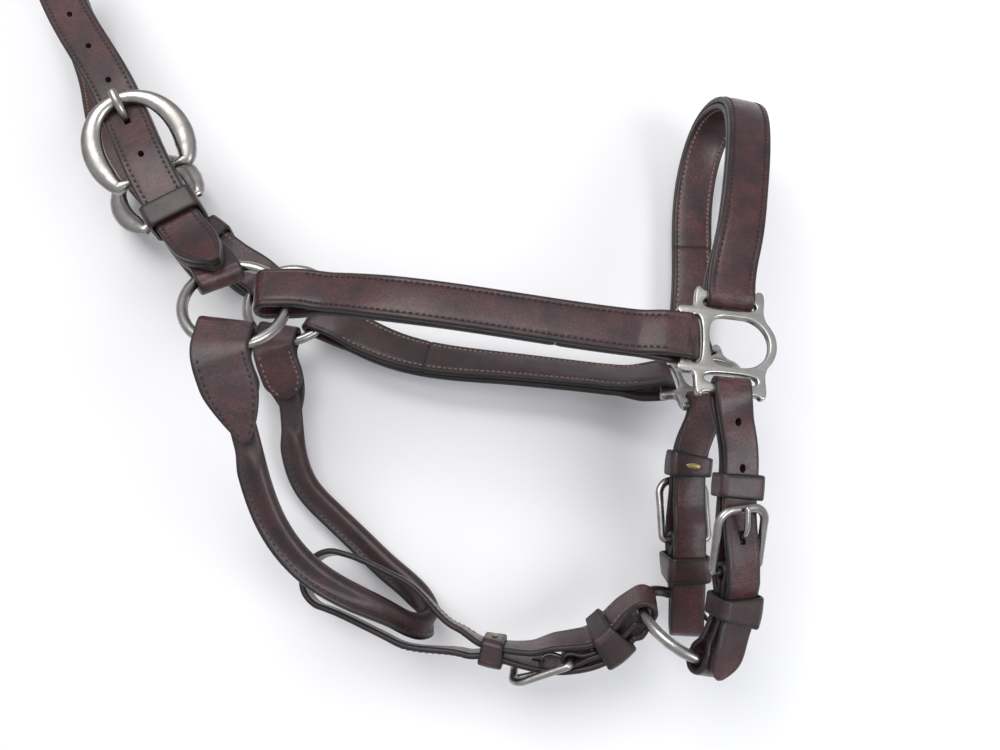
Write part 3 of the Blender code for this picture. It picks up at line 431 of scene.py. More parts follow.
def ring_end(points, faces, first_way, angle, last_way):
    """A guide that ends on the chin ring's bar, with the bar flat between the layers."""
    points = points + [ring_bar(chin_ring, angle)]
    face = np.cross(chin_bar(angle), last_way)
    face = face if face.dot(faces[-1]) > 0 else -face
    return Guide(points, faces[:-1] + [face], first_way, last_way)


# Chin straps go from the squares' bottom rails to the chin ring.
near_chin = ring_end(
    [near_square.at(-3.0, -RAIL_RISE), (123.0, -36, 94), (121.8, -66, 87), (120.6, -94, 79.5),
     (118.8, -122, 70)],
    [near_square.n, (0.16, 0.0, 0.99), (0.26, -0.12, 0.95), (0.32, -0.2, 0.92),
     (0.38, -0.34, 0.87), (0.46, -0.5, 0.73)],
    -near_square.y, NEAR_CHIN_ANGLE, square_to(chin_bar(NEAR_CHIN_ANGLE), (-0.12, -0.84, -0.52)))
far_chin = ring_end(
    [far_square.at(-7.5, -RAIL_RISE), (110.4, -26, 45), (106.8, -54, 38.9), (106, -82, 32.6)],
    [square_to(far_square.x, (-0.05, -0.2, -0.99)), (-0.14, -0.1, -0.98), (-0.2, 0.0, -0.98),
     (-0.16, 0.1, -0.97), (-0.1, 0.3, -0.95)],
    square_to(far_square.x, (-0.1, -0.98, 0.15)), FAR_CHIN_ANGLE, (0.0, -0.94, -0.33))

# The connecting strap goes from its loop round the throat strap to the chin ring.
connector = ring_end(
    [(-108, -98.5, 33), (-92, -102.5, 33), (-68, -113, 33), (-50, -122, 33), (-28, -133, 34),
     (-6, -139.5, 35), (12, -141.5, 36.5), (33, -140, 39), (54, -134.5, 43)],
    [(-0.4, -0.9, 0), (-0.4, -0.9, 0), (-0.43, -0.9, 0), (-0.45, -0.89, 0), (-0.4, -0.9, -0.05),
     (-0.2, -0.96, -0.15), (0.0, -0.95, -0.25), (0.1, -0.88, -0.42), (0.2, -0.8, -0.52),
     (0.28, -0.71, -0.62)],
    (0.97, -0.24, 0.0), CONNECTOR_ANGLE,
    square_to(chin_bar(CONNECTOR_ANGLE), (0.815, 0.5, 0.295)))


# The frame holds the near ring's joint at the ring's middle.
near_turn = [joint for joint in frame["joints"] if joint["name"] == "near_ring_turn"][0]
SHIFT = np.array(near_turn["pos_m"]) / MM - near_ring.centre


def spread(run, step=2.5):
    """Put rows at even lengths in long stretches, the same in layers that face."""
    rows = [run.rows[0]]
    for row in run.rows[1:]:
        last = rows[-1]
        if np.hypot(row[0] - last[0], row[1] - last[1]) < 0.01:
            continue
        low, high = sorted((last[0], row[0]))
        stops = [s for s in np.arange(step * (low // step), high, step)
                 if low + 0.6 < s < high - 0.6]
        for s in (stops if row[0] > last[0] else stops[::-1]):
            u = (s - last[0]) / (row[0] - last[0])
            rows.append(tuple(a + (b - a) * u for a, b in zip(last, row)))
        rows.append(row)
    run.rows = rows
    return run


class Buckled:
    """Heights and lengths shared by the three narrow straps with a buckle."""

    def __init__(self, guide, bar, lower_keeper, tip_past, angle, splay, slack):
        self.guide = guide
        self.bar = bar
        self.front = bar - CHIN_REACH
        self.tip = guide.length + tip_past
        self.hinge = Hinge(guide, bar, CHIN_BAR_HEIGHT, -1)
        self.upper_keeper = self.front - CHIN_FRONT_GAP
        self.lower_keeper = bar + lower_keeper
        self.inner_late = -3.9 - splay
        self.billet_late = 6.1 + splay
        self.fit_ring(angle, slack)

    def fit_ring(self, angle, slack):
        """Room for the chin ring's curve across the strap's width, and any slack."""
        curve = RING_RADIUS - (RING_RADIUS ** 2 - NARROW ** 2 / 4) ** 0.5
        _, t, n, _ = self.guide.frame(self.guide.length)
        inwards = -curve * chin_ring.way(angle)
        self.ring_shift = inwards.dot(n) / 2
        self.ring_sag = max(inwards.dot(t), 0.0) + 0.2 + slack
        self.flank = self.guide.length - 3.2 - abs(chin_bar(angle).dot(t)) * NARROW / 2
        self.ring_fold = RING_BAR + CLEAR + LEATHER / 2 + abs(self.ring_shift) + 0.06 * slack
        self.billet_tip = self.ring_shift + self.ring_fold + LEATHER + CLEAR + 0.1


BAR_FOLD = CHIN_BAR + CLEAR + SKIVED / 2
BILLET_LOW = 2.0       # the pierced end before the frame
BILLET_BAR = 7.75      # over the bar
INNER_HIGH = -3.4
INNER_BAR = -6.1


def rail_loop(run):
    """The fold round a square's bottom rail."""
    run.to(20, INNER_HIGH)
    run.ease(4, -RAIL_FOLD)
    run.fold(0, 0, RAIL_FOLD, 270, 90)
    run.ease(20, BILLET_LOW)


def throat_loop(run):
    """The wide loop that the throat strap hangs in."""
    run.to(108, INNER_HIGH)
    run.ease(90, -7.0)
    run.ease(50, -16.0)
    run.to(20, -15.6)
    run.fold(14, 0, 15.5, 262, 98, steps=40)
    run.to(20, 15.6)
    run.ease(62, 15.0)
    run.ease(99, 4.4)
    run.ease(110, BILLET_LOW)


def chin_plans():
    """The three narrow straps: bar, lower keeper, tip, splay and slack of each."""
    return {
        "near_chin": Buckled(near_chin, 93.0, 20.0, 4.0, NEAR_CHIN_ANGLE, 0.0, 0.0),
        "far_chin": Buckled(far_chin, far_chin.length - 35.0, 15.5, 9.0, FAR_CHIN_ANGLE,
                            2.9, 11.5),
        "connector": Buckled(connector, connector.length - 47.5, 22.0, 0.0,
                             CONNECTOR_ANGLE, 1.6, 0.0)}


# ------------------------------------------------------------- strap runs

def folded_run(guide, butt, first_fold, last_fold, first_sag, last_sag):
    """A strap folded round a bar at both ends, which meet on the inner side."""
    length = guide.length
    run = Run(WIDE, PLUMP)
    run.to(butt - 0.1, -LAYER).to(SPREAD_BY, -LAYER)
    run.ease(max(FOLD_FROM - first_sag, RING_HOLD), -first_fold)
    run.fold(-first_sag, 0, first_fold, 270, 90)
    run.to(min(first_sag, RING_HOLD), first_fold)
    run.ease(SPREAD_BY, LAYER)
    run.to(length - SPREAD_BY, LAYER)
    run.ease(length + last_sag - FOLD_FROM, last_fold)
    run.fold(length + last_sag, 0, last_fold, 90, -90)
    run.ease(length - SPREAD_BY, -LAYER)
    run.to(butt + 0.1, -LAYER)
    return spread(run)


def chape_run(guide):
    """Folded round its ring's bar and, where it is thinned, round the buckle's bar."""
    length = guide.length
    bar_fold = CROWN_BAR + CLEAR + SKIVED / 2
    run = Run(WIDE, PLUMP)
    run.to(CHAPE_BUTT - 0.1, -LAYER).to(24, -LAYER)
    run.ease(RING_HOLD, -RING_FOLD)
    run.fold(-RING_SAG, 0, RING_FOLD, 270, 90)
    run.ease(24, LAYER)
    run.to(length - 20, LAYER)
    run.ease(length - 4, bar_fold, SKIVED)
    run.fold(length, 0, bar_fold, 90, -90)
    run.to(length - 4, -bar_fold)
    run.ease(length - 18, -LAYER, PLUMP)
    run.to(CHAPE_BUTT + 0.1, -LAYER)
    return spread(run)


def crown_run(height):
    """One layer of the crown strap, pointed at both ends."""
    end = crown.length
    start = CROWN_POINT + 3
    tip = Run(WIDE, PLUMP).to(start, height).point(0, height, CROWN_POINT, CROWN_BLUNT)
    run = Run(WIDE, PLUMP)
    run.rows = tip.rows[:0:-1]
    run.to(start, height).to(end - start, height)
    run.point(end, height, CROWN_POINT, CROWN_BLUNT)
    return spread(run)


def tab_run(width, sag):
    """A throat tab folded round its ring, pointed at both ends, the outer one longer."""
    inner = Run(width, LEATHER).to(TAB_INNER - 17, -TAB_GAP).point(TAB_INNER, -TAB_GAP, 15)
    run = Run(width, LEATHER)
    run.rows = inner.rows[:0:-1]
    run.to(18, -TAB_GAP)
    run.ease(RING_HOLD, -RING_FOLD)
    run.fold(-sag, 0, RING_FOLD, 270, 90)
    run.to(RING_HOLD, RING_FOLD)
    run.ease(18, TAB_GAP)
    run.to(TAB_OUTER - TAB_POINT - 1, TAB_GAP)
    run.point(TAB_OUTER, TAB_GAP, TAB_POINT, TAB_BLUNT)
    return spread(run)


def buckled_run(plan, loop):
    """Round the bar, out round the chin ring, back, round a loop and through the buckle."""
    length = plan.guide.length
    bar = plan.bar
    under = CHIN_BAR_HEIGHT - BAR_FOLD
    run = Run(NARROW, SKIVED - 0.6)
    run.to(bar + 14, -0.8).to(bar + 8, -0.8)
    run.ease(bar + 1, under, SKIVED)
    run.fold(bar, CHIN_BAR_HEIGHT, BAR_FOLD, 270, 90)
    run.ease(bar + 11, 2.2, LEATHER)
    run.to(plan.flank - 6.8, 2.2)
    run.ease(plan.flank, plan.ring_shift + plan.ring_fold)
    run.fold(length + plan.ring_sag, plan.ring_shift, plan.ring_fold, 90, -90)
    run.to(plan.flank, plan.ring_shift - plan.ring_fold)
    run.ease(plan.flank - 6.8, plan.inner_late)
    run.to(bar + 13, plan.inner_late)
    run.ease(bar + 2, INNER_BAR)
    run.to(bar - 6, INNER_BAR)
    run.ease(bar - 22, INNER_HIGH)
    loop(run)
    run.to(plan.front - 6.5, BILLET_LOW)
    run.ease(bar - 2, BILLET_BAR).to(bar + 5, BILLET_BAR)
    run.ease(bar + 14, plan.billet_late)
    run.to(plan.lower_keeper + 9, plan.billet_late)
    run.ease(plan.tip - 12, plan.billet_tip)
    run.point(plan.tip, plan.billet_tip, 12)
    return spread(run)


# ------------------------------------------------------------------ meshes

def added(name, data):
    """An object for a mesh, curve, light or camera, linked into the scene."""
    made = bpy.data.objects.new(name, data)
    bpy.context.scene.collection.objects.link(made)
    return made


def finish_mesh(mesh, smooth_angle, merge=0.0):
    """Faces outwards, smooth but for edges sharper than an angle; merge is in metres."""
    shape = bmesh.new()
    shape.from_mesh(mesh)
    if merge:
        bmesh.ops.remove_doubles(shape, verts=shape.verts, dist=merge)
    bmesh.ops.recalc_face_normals(shape, faces=shape.faces)
    shape.to_mesh(mesh)
    shape.free()
    mesh.shade_smooth()
    mesh.set_sharp_from_angle(angle=radians(smooth_angle))


def mesh_piece(name, verts, faces, look, smooth_angle=50):
    """A piece from points in the layout's millimetres."""
    mesh = bpy.data.meshes.new(name)
    mesh.from_pydata([tuple((np.asarray(v) + SHIFT) * MM) for v in verts], [], faces)
    finish_mesh(mesh, smooth_angle)
    made = added(name, mesh)
    if look:
        mesh.materials.append(look)
    return made


def paint(made, **values):
    """Store one number per vertex under each name, for the materials to read."""
    for key, numbers in values.items():
        layer = made.data.attributes.new(key, "FLOAT", "POINT")
        layer.data.foreach_set("value", np.asarray(numbers, np.float32))


class Skin:
    """Points of a leather piece, with the numbers that its material reads at each."""

    def __init__(self):
        self.verts = []
        self.marks = {"edge": [], "along": [], "across": [], "fold": []}

    def add(self, vert, **marks):
        self.verts.append(vert)
        for key, value in marks.items():
            self.marks[key].append(value)

    def piece(self, name, faces, look):
        made = mesh_piece(name, self.verts, faces, look)
        paint(made, **self.marks)
        return made


def loft_faces(count, sides, closed):
    """Faces between sections that have as many points, with end caps unless closed."""
    faces = []
    for i in range(count if closed else count - 1):
        a = i * sides
        b = (i + 1) % count * sides
        for k in range(sides):
            m = (k + 1) % sides
            faces.append((a + k, a + m, b + m, b + k))
    if not closed:
        faces.append(tuple(range(sides)))
        faces.append(tuple((count - 1) * sides + k for k in range(sides)))
    return faces


def section(width, thick, full, raised, groove):
    """One strap section: (across, out, edge) from one edge over the outer face and back."""
    part = width / full
    r = min(1.15, thick / 2 - 0.05) * part
    half = width / 2
    top = thick / 2
    round_r = min(r, thick / 2 - 0.05)
    face = [(half, top - round_r, 1.0), (half - 0.29 * r, top - 0.29 * round_r, 1.0),
            (half - r, top, 0.8), (half - 1.9 * part, top + 0.04, 0.25),
            (half - 2.6 * part, top, 0.0), (half - 3.3 * part, top - groove, 0.12),
            (half - 4.0 * part, top + 0.12 * raised, 0.0),
            (half - 5.4 * part, top + 0.6 * raised, 0.0), (half - 8 * part, top + raised, 0.0),
            (0, top + 1.1 * raised, 0.0)]
    over = face + [(-b, out, edge) for b, out, edge in face[-2::-1]]
    flat = [(b, min(out, top), edge) for b, out, edge in face]
    back = [(-b, -out, edge) for b, out, edge in flat]
    under = back + [(b, -out, edge) for b, out, edge in flat[-2::-1]]
    return over, under


def strap(name, guide, run, look, full, raised=0.0, groove=0.0):
    """A strap with rounded edges that follows a run; it keeps where each point lies."""
    path = np.array([row[:2] for row in run.rows])
    way = np.gradient(path, axis=0)
    way /= np.linalg.norm(way, axis=1)[:, None]
    bend = np.zeros(len(path))
    turn = np.linalg.norm(np.diff(way, axis=0), axis=1)
    gap = np.linalg.norm(np.diff(path, axis=0), axis=1)
    bend[1:] = np.clip(turn / np.maximum(gap, 0.05) * 4.0, 0, 1)
    bend = np.convolve(bend, np.ones(5) / 5, "same")
    skin = Skin()
    last = len(path) - 1
    for i, ((s, h, thick, width), (ds, dh)) in enumerate(zip(run.rows, way)):
        pull = 0.35 if i in (0, last) else 0.0
        calm = 1 - bend[i]
        over, under = section(width, thick, full, raised * calm, groove * calm)
        for b, out, near_edge in over + under:
            b = b - pull * np.sign(b)
            out = out * (1 - pull / max(thick, 1) * 1.6)
            skin.add(guide.place(s - dh * out, b, h + ds * out), along=s, across=b,
                     edge=max(near_edge, 1.0 if i in (0, last) else 0.0), fold=bend[i])
    return skin.piece(name, loft_faces(len(path), len(over + under), False), look)


def sweep(name, points, ups, half_side, half_up, look, closed, sides):
    """An oval bar along points, its half sizes given at each."""
    points = np.array(points, float)
    if closed:
        way = np.roll(points, -1, axis=0) - np.roll(points, 1, axis=0)
    else:
        way = np.gradient(points, axis=0)
    verts = []
    for i, (point, t) in enumerate(zip(points, way)):
        up = unit(ups[i])
        side = unit(np.cross(t, up))
        for k in range(sides):
            a = 2 * pi * (k + 0.5) / sides
            verts.append(point + half_side[i] * cos(a) * side + half_up[i] * sin(a) * up)
    return mesh_piece(name, verts, loft_faces(len(points), sides, closed), look)


def curve_through(points, count, closed=False):
    """Evenly many points on a smooth curve through a few."""
    points = np.array(points, float)
    if closed:
        points = np.concatenate([points[-3:], points, points[:4]])
    knots = np.concatenate([[0], np.cumsum(np.linalg.norm(np.diff(points, axis=0), axis=1))])
    if closed:
        at = np.linspace(knots[3], knots[-4], count, endpoint=False)
    else:
        at = np.linspace(0, knots[-1], count)
    return spline(knots, points, at)


def cut(made, *cutters):
    """Cut shapes out of a piece for good; the walls of the cut count as edges and take the dark
    edge colour: dyed cut leather, and also painted shade inside the holes and slots.
    """
    # the cutters mark their walls as edges: dark dye, which also paints shade into the holes and
    # slots
    for cutter in cutters:
        paint(cutter, edge=[1.0] * len(cutter.data.vertices),
              fold=[0.0] * len(cutter.data.vertices))
        knife = made.modifiers.new("cut", "BOOLEAN")
        knife.solver = "EXACT"
        knife.object = cutter
    seen = bpy.context.evaluated_depsgraph_get()
    result = bpy.data.meshes.new_from_object(made.evaluated_get(seen))
    made.modifiers.clear()
    made.data = result
    result.set_sharp_from_angle(angle=radians(50))
    for cutter in cutters:
        bpy.data.objects.remove(cutter)


def block(name, origin, axes, low, high):
    """A cutter: a box on its own axes."""
    verts = []
    for x in (low[0], high[0]):
        for y in (low[1], high[1]):
            for z in (low[2], high[2]):
                verts.append(origin + x * axes[0] + y * axes[1] + z * axes[2])
    faces = [(0, 1, 3, 2), (4, 6, 7, 5), (0, 4, 5, 1), (2, 3, 7, 6), (0, 2, 6, 4), (1, 5, 7, 3)]
    return mesh_piece(name, verts, faces, None)


def punch(name, guide, places, low, high, radius):
    """Cutters for a row of holes, each a little longer than it is wide."""
    verts = []
    faces = []
    sides = 20
    for s in places:
        c, t, n, across = guide.frame(s)
        base = len(verts)
        for h in (low, high):
            for k in range(sides):
                a = 2 * pi * k / sides
                verts.append(c + h * n + radius * (1.15 * cos(a) * t + 0.85 * sin(a) * across))
        faces += [tuple(base + k for k in face) for face in loft_faces(2, sides, False)]
    return mesh_piece(name, verts, faces, None)


# ---------------------------------------------------------------- stitching

def stitch_places(guide, run, spans, full, inset=STITCH_INSET, lift=STITCH_LIFT):
    """Where stitches lie on a run's outer face: (middle, way, outwards, on the inner side)."""
    path = np.array([row[:2] for row in run.rows])
    widths = np.array([row[3] for row in run.rows])
    thicks = np.array([row[2] for row in run.rows])
    arc = np.concatenate([[0], np.cumsum(np.linalg.norm(np.diff(path, axis=0), axis=1))])
    places = []

    def spot(at, side):
        s = np.interp(at, arc, path[:, 0])
        h = np.interp(at, arc, path[:, 1])
        ds = np.interp(at + 0.2, arc, path[:, 0]) - np.interp(at - 0.2, arc, path[:, 0])
        dh = np.interp(at + 0.2, arc, path[:, 1]) - np.interp(at - 0.2, arc, path[:, 1])
        size = max(float(np.hypot(ds, dh)), 1e-6)
        width = np.interp(at, arc, widths)
        out = np.interp(at, arc, thicks) / 2 + lift
        b = side * max(width / 2 - inset * max(width / full, 0.55), 0.0)
        point = guide.place(s - dh / size * out, b, h + ds / size * out)
        below = guide.place(s, b, h)
        return s, h, ds / size, point, unit(point - below)

    for side in (1, -1):
        for at in np.arange(1.7, arc[-1] - 1.0, STITCH_PITCH):
            s, h, ds, point, outwards = spot(at, side)
            if not any(low <= s <= high and (layer == 0 or layer * h > 0)
                       for low, high, layer in spans) or abs(ds) < 0.9:
                continue
            ahead = spot(at + 0.6, side)[3]
            places.append((point, unit(ahead - point), outwards, h < 0))
    return places


def stitches(name, places, look, half_long=1.2, radius=0.62):
    """Short threads that dip into the leather at both ends."""
    rows = [(-1.0, 0.25, -0.55), (-0.8, 0.75, -0.2), (-0.4, 1.0, 0.02), (0.0, 1.0, 0.1),
            (0.4, 1.0, 0.02), (0.8, 0.75, -0.2), (1.0, 0.25, -0.55)]
    sides = 6
    base_faces = loft_faces(len(rows), sides, False)
    verts = []
    faces = []
    for number, (point, way, outwards, _) in enumerate(places):
        side = unit(np.cross(outwards, way))
        way = unit(way + 0.16 * side)
        side = unit(np.cross(outwards, way))
        base = len(verts)
        vary = 1.0 + 0.08 * sin(number * 2.4)
        for along, grow, sink in rows:
            middle = point + along * half_long * vary * way + sink * outwards
            for k in range(sides):
                a = 2 * pi * k / sides
                verts.append(middle + radius * grow * (cos(a) * side + 0.8 * sin(a) * outwards))
        faces += [tuple(base + k for k in face) for face in base_faces]
    return mesh_piece(name, verts, faces, look, 80)


def thread_row(name, places, look, **size):
    """Stitching that rides on the straps' body."""
    made = stitches(name + "_stitching", places, look, **size)
    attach(made, ROOT)


def sewn(name, guide, run, spans, full, **sunk):
    """Dark thread on a strap's outer side, paler thread on its inner side."""
    places = stitch_places(guide, run, spans, full, **sunk)
    for key, inner, look in (("_outer", False, dark_thread), ("_inner", True, pale_thread)):
        chosen = [place for place in places if place[3] == inner]
        if chosen:
            thread_row(name + key, chosen, look)


# ---------------------------------------------------------------- materials

class Nodes:
    """A material's node tree, with short calls to add and join nodes."""

    def __init__(self, name, roughness, metallic=0.0):
        self.material = bpy.data.materials.new(name)
        self.material.use_nodes = True
        self.tree = self.material.node_tree
        self.shader = self.tree.nodes["Principled BSDF"]
        self.shader.inputs["Roughness"].default_value = roughness
        self.shader.inputs["Metallic"].default_value = metallic

    def add(self, kind, **inputs):
        made = self.tree.nodes.new(kind)
        for key, value in inputs.items():
            self.join(value, made.inputs[key.replace("_", " ")])
        return made

    def join(self, value, socket):
        if hasattr(value, "is_output"):
            self.tree.links.new(value, socket)
        else:
            socket.default_value = value

    def spot(self):
        return self.add("ShaderNodeTexCoord").outputs["Object"]

    def stored(self, name):
        made = self.add("ShaderNodeAttribute")
        made.attribute_name = name
        return made.outputs["Fac"]

    def noise(self, where, scale, detail=3.0, rough=0.55):
        made = self.add("ShaderNodeTexNoise", Vector=where, Scale=scale, Detail=detail,
                        Roughness=rough)
        return made.outputs["Fac"]

    def cells(self, where, scale):
        made = self.tree.nodes.new("ShaderNodeTexVoronoi")
        made.feature = "DISTANCE_TO_EDGE"
        self.join(where, made.inputs["Vector"])
        made.inputs["Scale"].default_value = scale
        return made.outputs["Distance"]

    def ranged(self, value, low, high, to_low=0.0, to_high=1.0):
        made = self.tree.nodes.new("ShaderNodeMapRange")
        made.interpolation_type = "SMOOTHSTEP"
        for key, number in (("From Min", low), ("From Max", high), ("To Min", to_low),
                            ("To Max", to_high)):
            made.inputs[key].default_value = number
        self.join(value, made.inputs["Value"])
        return made.outputs["Result"]

    def sum(self, kind, a, b):
        made = self.tree.nodes.new("ShaderNodeMath")
        made.operation = kind
        self.join(a, made.inputs[0])
        self.join(b, made.inputs[1])
        return made.outputs[0]

    def mix(self, factor, a, b):
        made = self.tree.nodes.new("ShaderNodeMix")
        made.data_type = "RGBA"
        self.join(factor, made.inputs["Factor"])
        self.join((*a, 1) if isinstance(a, tuple) else a, made.inputs["A"])
        self.join((*b, 1) if isinstance(b, tuple) else b, made.inputs["B"])
        return made.outputs["Result"]

    def bump(self, height, strength, distance, before=None):
        made = self.add("ShaderNodeBump", Height=height, Strength=strength, Distance=distance)
        if before:
            self.join(before, made.inputs["Normal"])
        return made.outputs["Normal"]


def leather(name, tone, light, dark, edge_dye_and_hole_shade, roughness):
    """Oiled strap leather: mottled colour, fine grain, creases at folds, dark dyed edges, and the
    same dark colour as painted shade on the walls of holes and slots.
    """
    n = Nodes(name, roughness)
    spot = n.spot()
    mottle = n.noise(spot, 55.0, 4.0, 0.6)
    fleck = n.noise(spot, 700.0, 3.0, 0.6)
    grain = n.cells(spot, 1500.0)
    pores = n.cells(spot, 620.0)
    along = n.stored("along")
    across = n.stored("across")
    fold = n.stored("fold")
    edge = n.stored("edge")
    place = n.add("ShaderNodeCombineXYZ", X=n.sum("MULTIPLY", along, 0.55),
                  Y=n.sum("MULTIPLY", across, 0.09)).outputs[0]
    creases = n.noise(place, 1.1, 3.0, 0.55)
    colour = n.mix(n.ranged(mottle, 0.32, 0.68), dark, tone)
    colour = n.mix(n.ranged(fleck, 0.50, 0.80, 0.0, 0.22), colour, light)
    colour = n.mix(n.sum("MULTIPLY", n.ranged(creases, 0.42, 0.62), n.sum("MULTIPLY", fold, 0.5)),
                   colour, light)
    worn = n.ranged(n.noise(spot, 180.0, 3.0, 0.7), 0.35, 0.75, 0.75, 1.0)
    # near-black edge dye; on the walls of cut holes and slots this is also painted shade
    colour = n.mix(n.sum("MULTIPLY", edge, worn), colour, edge_dye_and_hole_shade)
    n.join(colour, n.shader.inputs["Base Color"])
    rough = n.ranged(mottle, 0.3, 0.7, roughness + 0.06, roughness - 0.06)
    rough = n.sum("ADD", rough, n.ranged(fleck, 0.35, 0.7, -0.04, 0.06))
    rough = n.sum("ADD", rough, n.sum("MULTIPLY", edge, 0.12))
    n.join(rough, n.shader.inputs["Roughness"])
    n.shader.inputs["Specular IOR Level"].default_value = 0.38
    n.shader.inputs["Coat Weight"].default_value = 0.16
    n.shader.inputs["Coat Roughness"].default_value = 0.22
    normal = n.bump(n.ranged(grain, 0.0, 0.18), 0.35, 0.00012)
    normal = n.bump(n.ranged(pores, 0.0, 0.3), 0.25, 0.00012, normal)
    normal = n.bump(n.noise(spot, 240.0, 3.0, 0.6), 0.3, 0.0005, normal)
    normal = n.bump(n.sum("MULTIPLY", creases, n.sum("ADD", n.sum("MULTIPLY", fold, 0.9), 0.1)),
                    0.7, 0.0011, normal)
    n.join(normal, n.shader.inputs["Normal"])
    return n.material


def metal(name, tone, shade, roughness, bumpy):
    """Plated cast metal: soft cloudy roughness, faint pits and darker patches."""
    n = Nodes(name, roughness, 1.0)
    spot = n.spot()
    cloud = n.noise(spot, 90.0, 4.0, 0.6)
    pits = n.noise(spot, 900.0, 3.0, 0.6)
    colour = n.mix(n.ranged(cloud, 0.35, 0.7), shade, tone)
    n.join(colour, n.shader.inputs["Base Color"])
    rough = n.sum("ADD", n.ranged(cloud, 0.3, 0.7, roughness + 0.08, roughness - 0.05),
                  n.ranged(pits, 0.45, 0.75, 0.0, 0.08))
    n.join(rough, n.shader.inputs["Roughness"])
    n.join(n.bump(pits, bumpy, 0.00015, n.bump(cloud, bumpy, 0.0006)), n.shader.inputs["Normal"])
    return n.material


def thread(name, tone, light):
    """Waxed linen thread with a twist across each stitch."""
    n = Nodes(name, 0.6)
    spot = n.spot()
    twist = n.noise(spot, 1600.0, 2.0, 0.5)
    n.join(n.mix(n.ranged(twist, 0.35, 0.7), tone, light), n.shader.inputs["Base Color"])
    n.join(n.bump(twist, 0.5, 0.0002), n.shader.inputs["Normal"])
    return n.material


def floor_look():
    """Matt off-white with a faint mottle."""
    n = Nodes("table_top", 0.6)
    tint = n.noise(n.spot(), 3.0, 2.0, 0.5)
    n.join(n.mix(tint, (0.73, 0.73, 0.75), (0.77, 0.77, 0.785)), n.shader.inputs["Base Color"])
    n.shader.inputs["Specular IOR Level"].default_value = 0.2
    return n.material


havana = leather("havana_leather_face", (0.054, 0.0175, 0.0200), (0.120, 0.052, 0.055),
                 (0.019, 0.0076, 0.0108), (0.0040, 0.0034, 0.0044), 0.32)
# darker havana for the keepers and the throat strap; on the far cheek strap, the same leather as
# the near one, it is painted shade
darker_havana_and_far_cheek_shade = leather("havana_leather_darker_and_shaded_face", (0.036, 0.0145, 0.0175), (0.082, 0.042, 0.047),
                      (0.016, 0.0080, 0.0090), (0.0040, 0.0034, 0.0040), 0.37)
lining_leather = leather("lining_leather_face", (0.062, 0.0230, 0.0195), (0.115, 0.054, 0.046),
                         (0.036, 0.0140, 0.0135), (0.0060, 0.0045, 0.0048), 0.45)
satin_nickel = metal("satin_nickel_plate", (0.40, 0.385, 0.37), (0.27, 0.26, 0.25), 0.27, 0.10)
cast_nickel = metal("cast_nickel_plate", (0.47, 0.455, 0.435), (0.33, 0.32, 0.305), 0.30, 0.22)
old_brass = metal("aged_brass_head", (0.52, 0.41, 0.19), (0.30, 0.23, 0.10), 0.38, 0.3)
dark_thread = thread("dark_thread", (0.0065, 0.0050, 0.0055), (0.022, 0.015, 0.015))
pale_thread = thread("pale_thread", (0.13, 0.075, 0.062), (0.25, 0.165, 0.135))


# ------------------------------------------------------------------ fittings

def placed(made, body, node):
    """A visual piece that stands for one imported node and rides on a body."""
    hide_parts(node)
    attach(made, body)


def ring(name, plate):
    """A plain round ring."""
    turns = 96
    points = [plate.at(RING_RADIUS * cos(2 * pi * k / turns), RING_RADIUS * sin(2 * pi * k / turns))
              for k in range(turns)]
    size = [RING_BAR] * turns
    made = sweep(name + "_round_bar", points, [plate.n] * turns, size, size, satin_nickel, True, 20)
    placed(made, name, name)


def rounded(outline, times=3, share=0.22):
    """A closed outline with its corners cut again and again until they are round."""
    points = [np.array(point, float) for point in outline]
    for _ in range(times):
        made = []
        for a, b in zip(points, points[1:] + points[:1]):
            made += [a + share * (b - a), b - share * (b - a)]
        points = made
        share = 0.25
    return points


def square(name, plate):
    """A cast square with rounded edges, its rails and beads worked round."""
    ease = 1.1
    data = bpy.data.curves.new(name + "_outline", "CURVE")
    data.dimensions = "2D"
    data.fill_mode = "BOTH"
    data.extrude = SQUARE_HALF_THICK - ease
    data.bevel_depth = ease
    data.bevel_resolution = 3
    data.offset = -ease
    for outline in [square_outline()] + list(square_openings()):
        points = rounded(outline)
        line = data.splines.new("POLY")
        line.points.add(len(points) - 1)
        line.use_cyclic_u = True
        for spot, (x, y) in zip(line.points, points):
            spot.co = (x, y, 0, 1)
    shape = added(name + "_shape", data)
    seen = bpy.context.evaluated_depsgraph_get()
    mesh = bpy.data.meshes.new_from_object(shape.evaluated_get(seen))
    bpy.data.objects.remove(shape)
    bpy.data.curves.remove(data)
    turn = Matrix([[*row, 0] for row in np.array([plate.x, plate.y, plate.n]).T] + [[0, 0, 0, 1]])
    mesh.transform(turn)
    mesh.transform(Matrix.Translation(Vector(plate.centre + SHIFT)))
    mesh.transform(Matrix.Scale(MM, 4))
    finish_mesh(mesh, 35, merge=1e-6)
    mesh.materials.clear()
    mesh.materials.append(cast_nickel)
    placed(added(name + "_casting", mesh), ROOT, name)


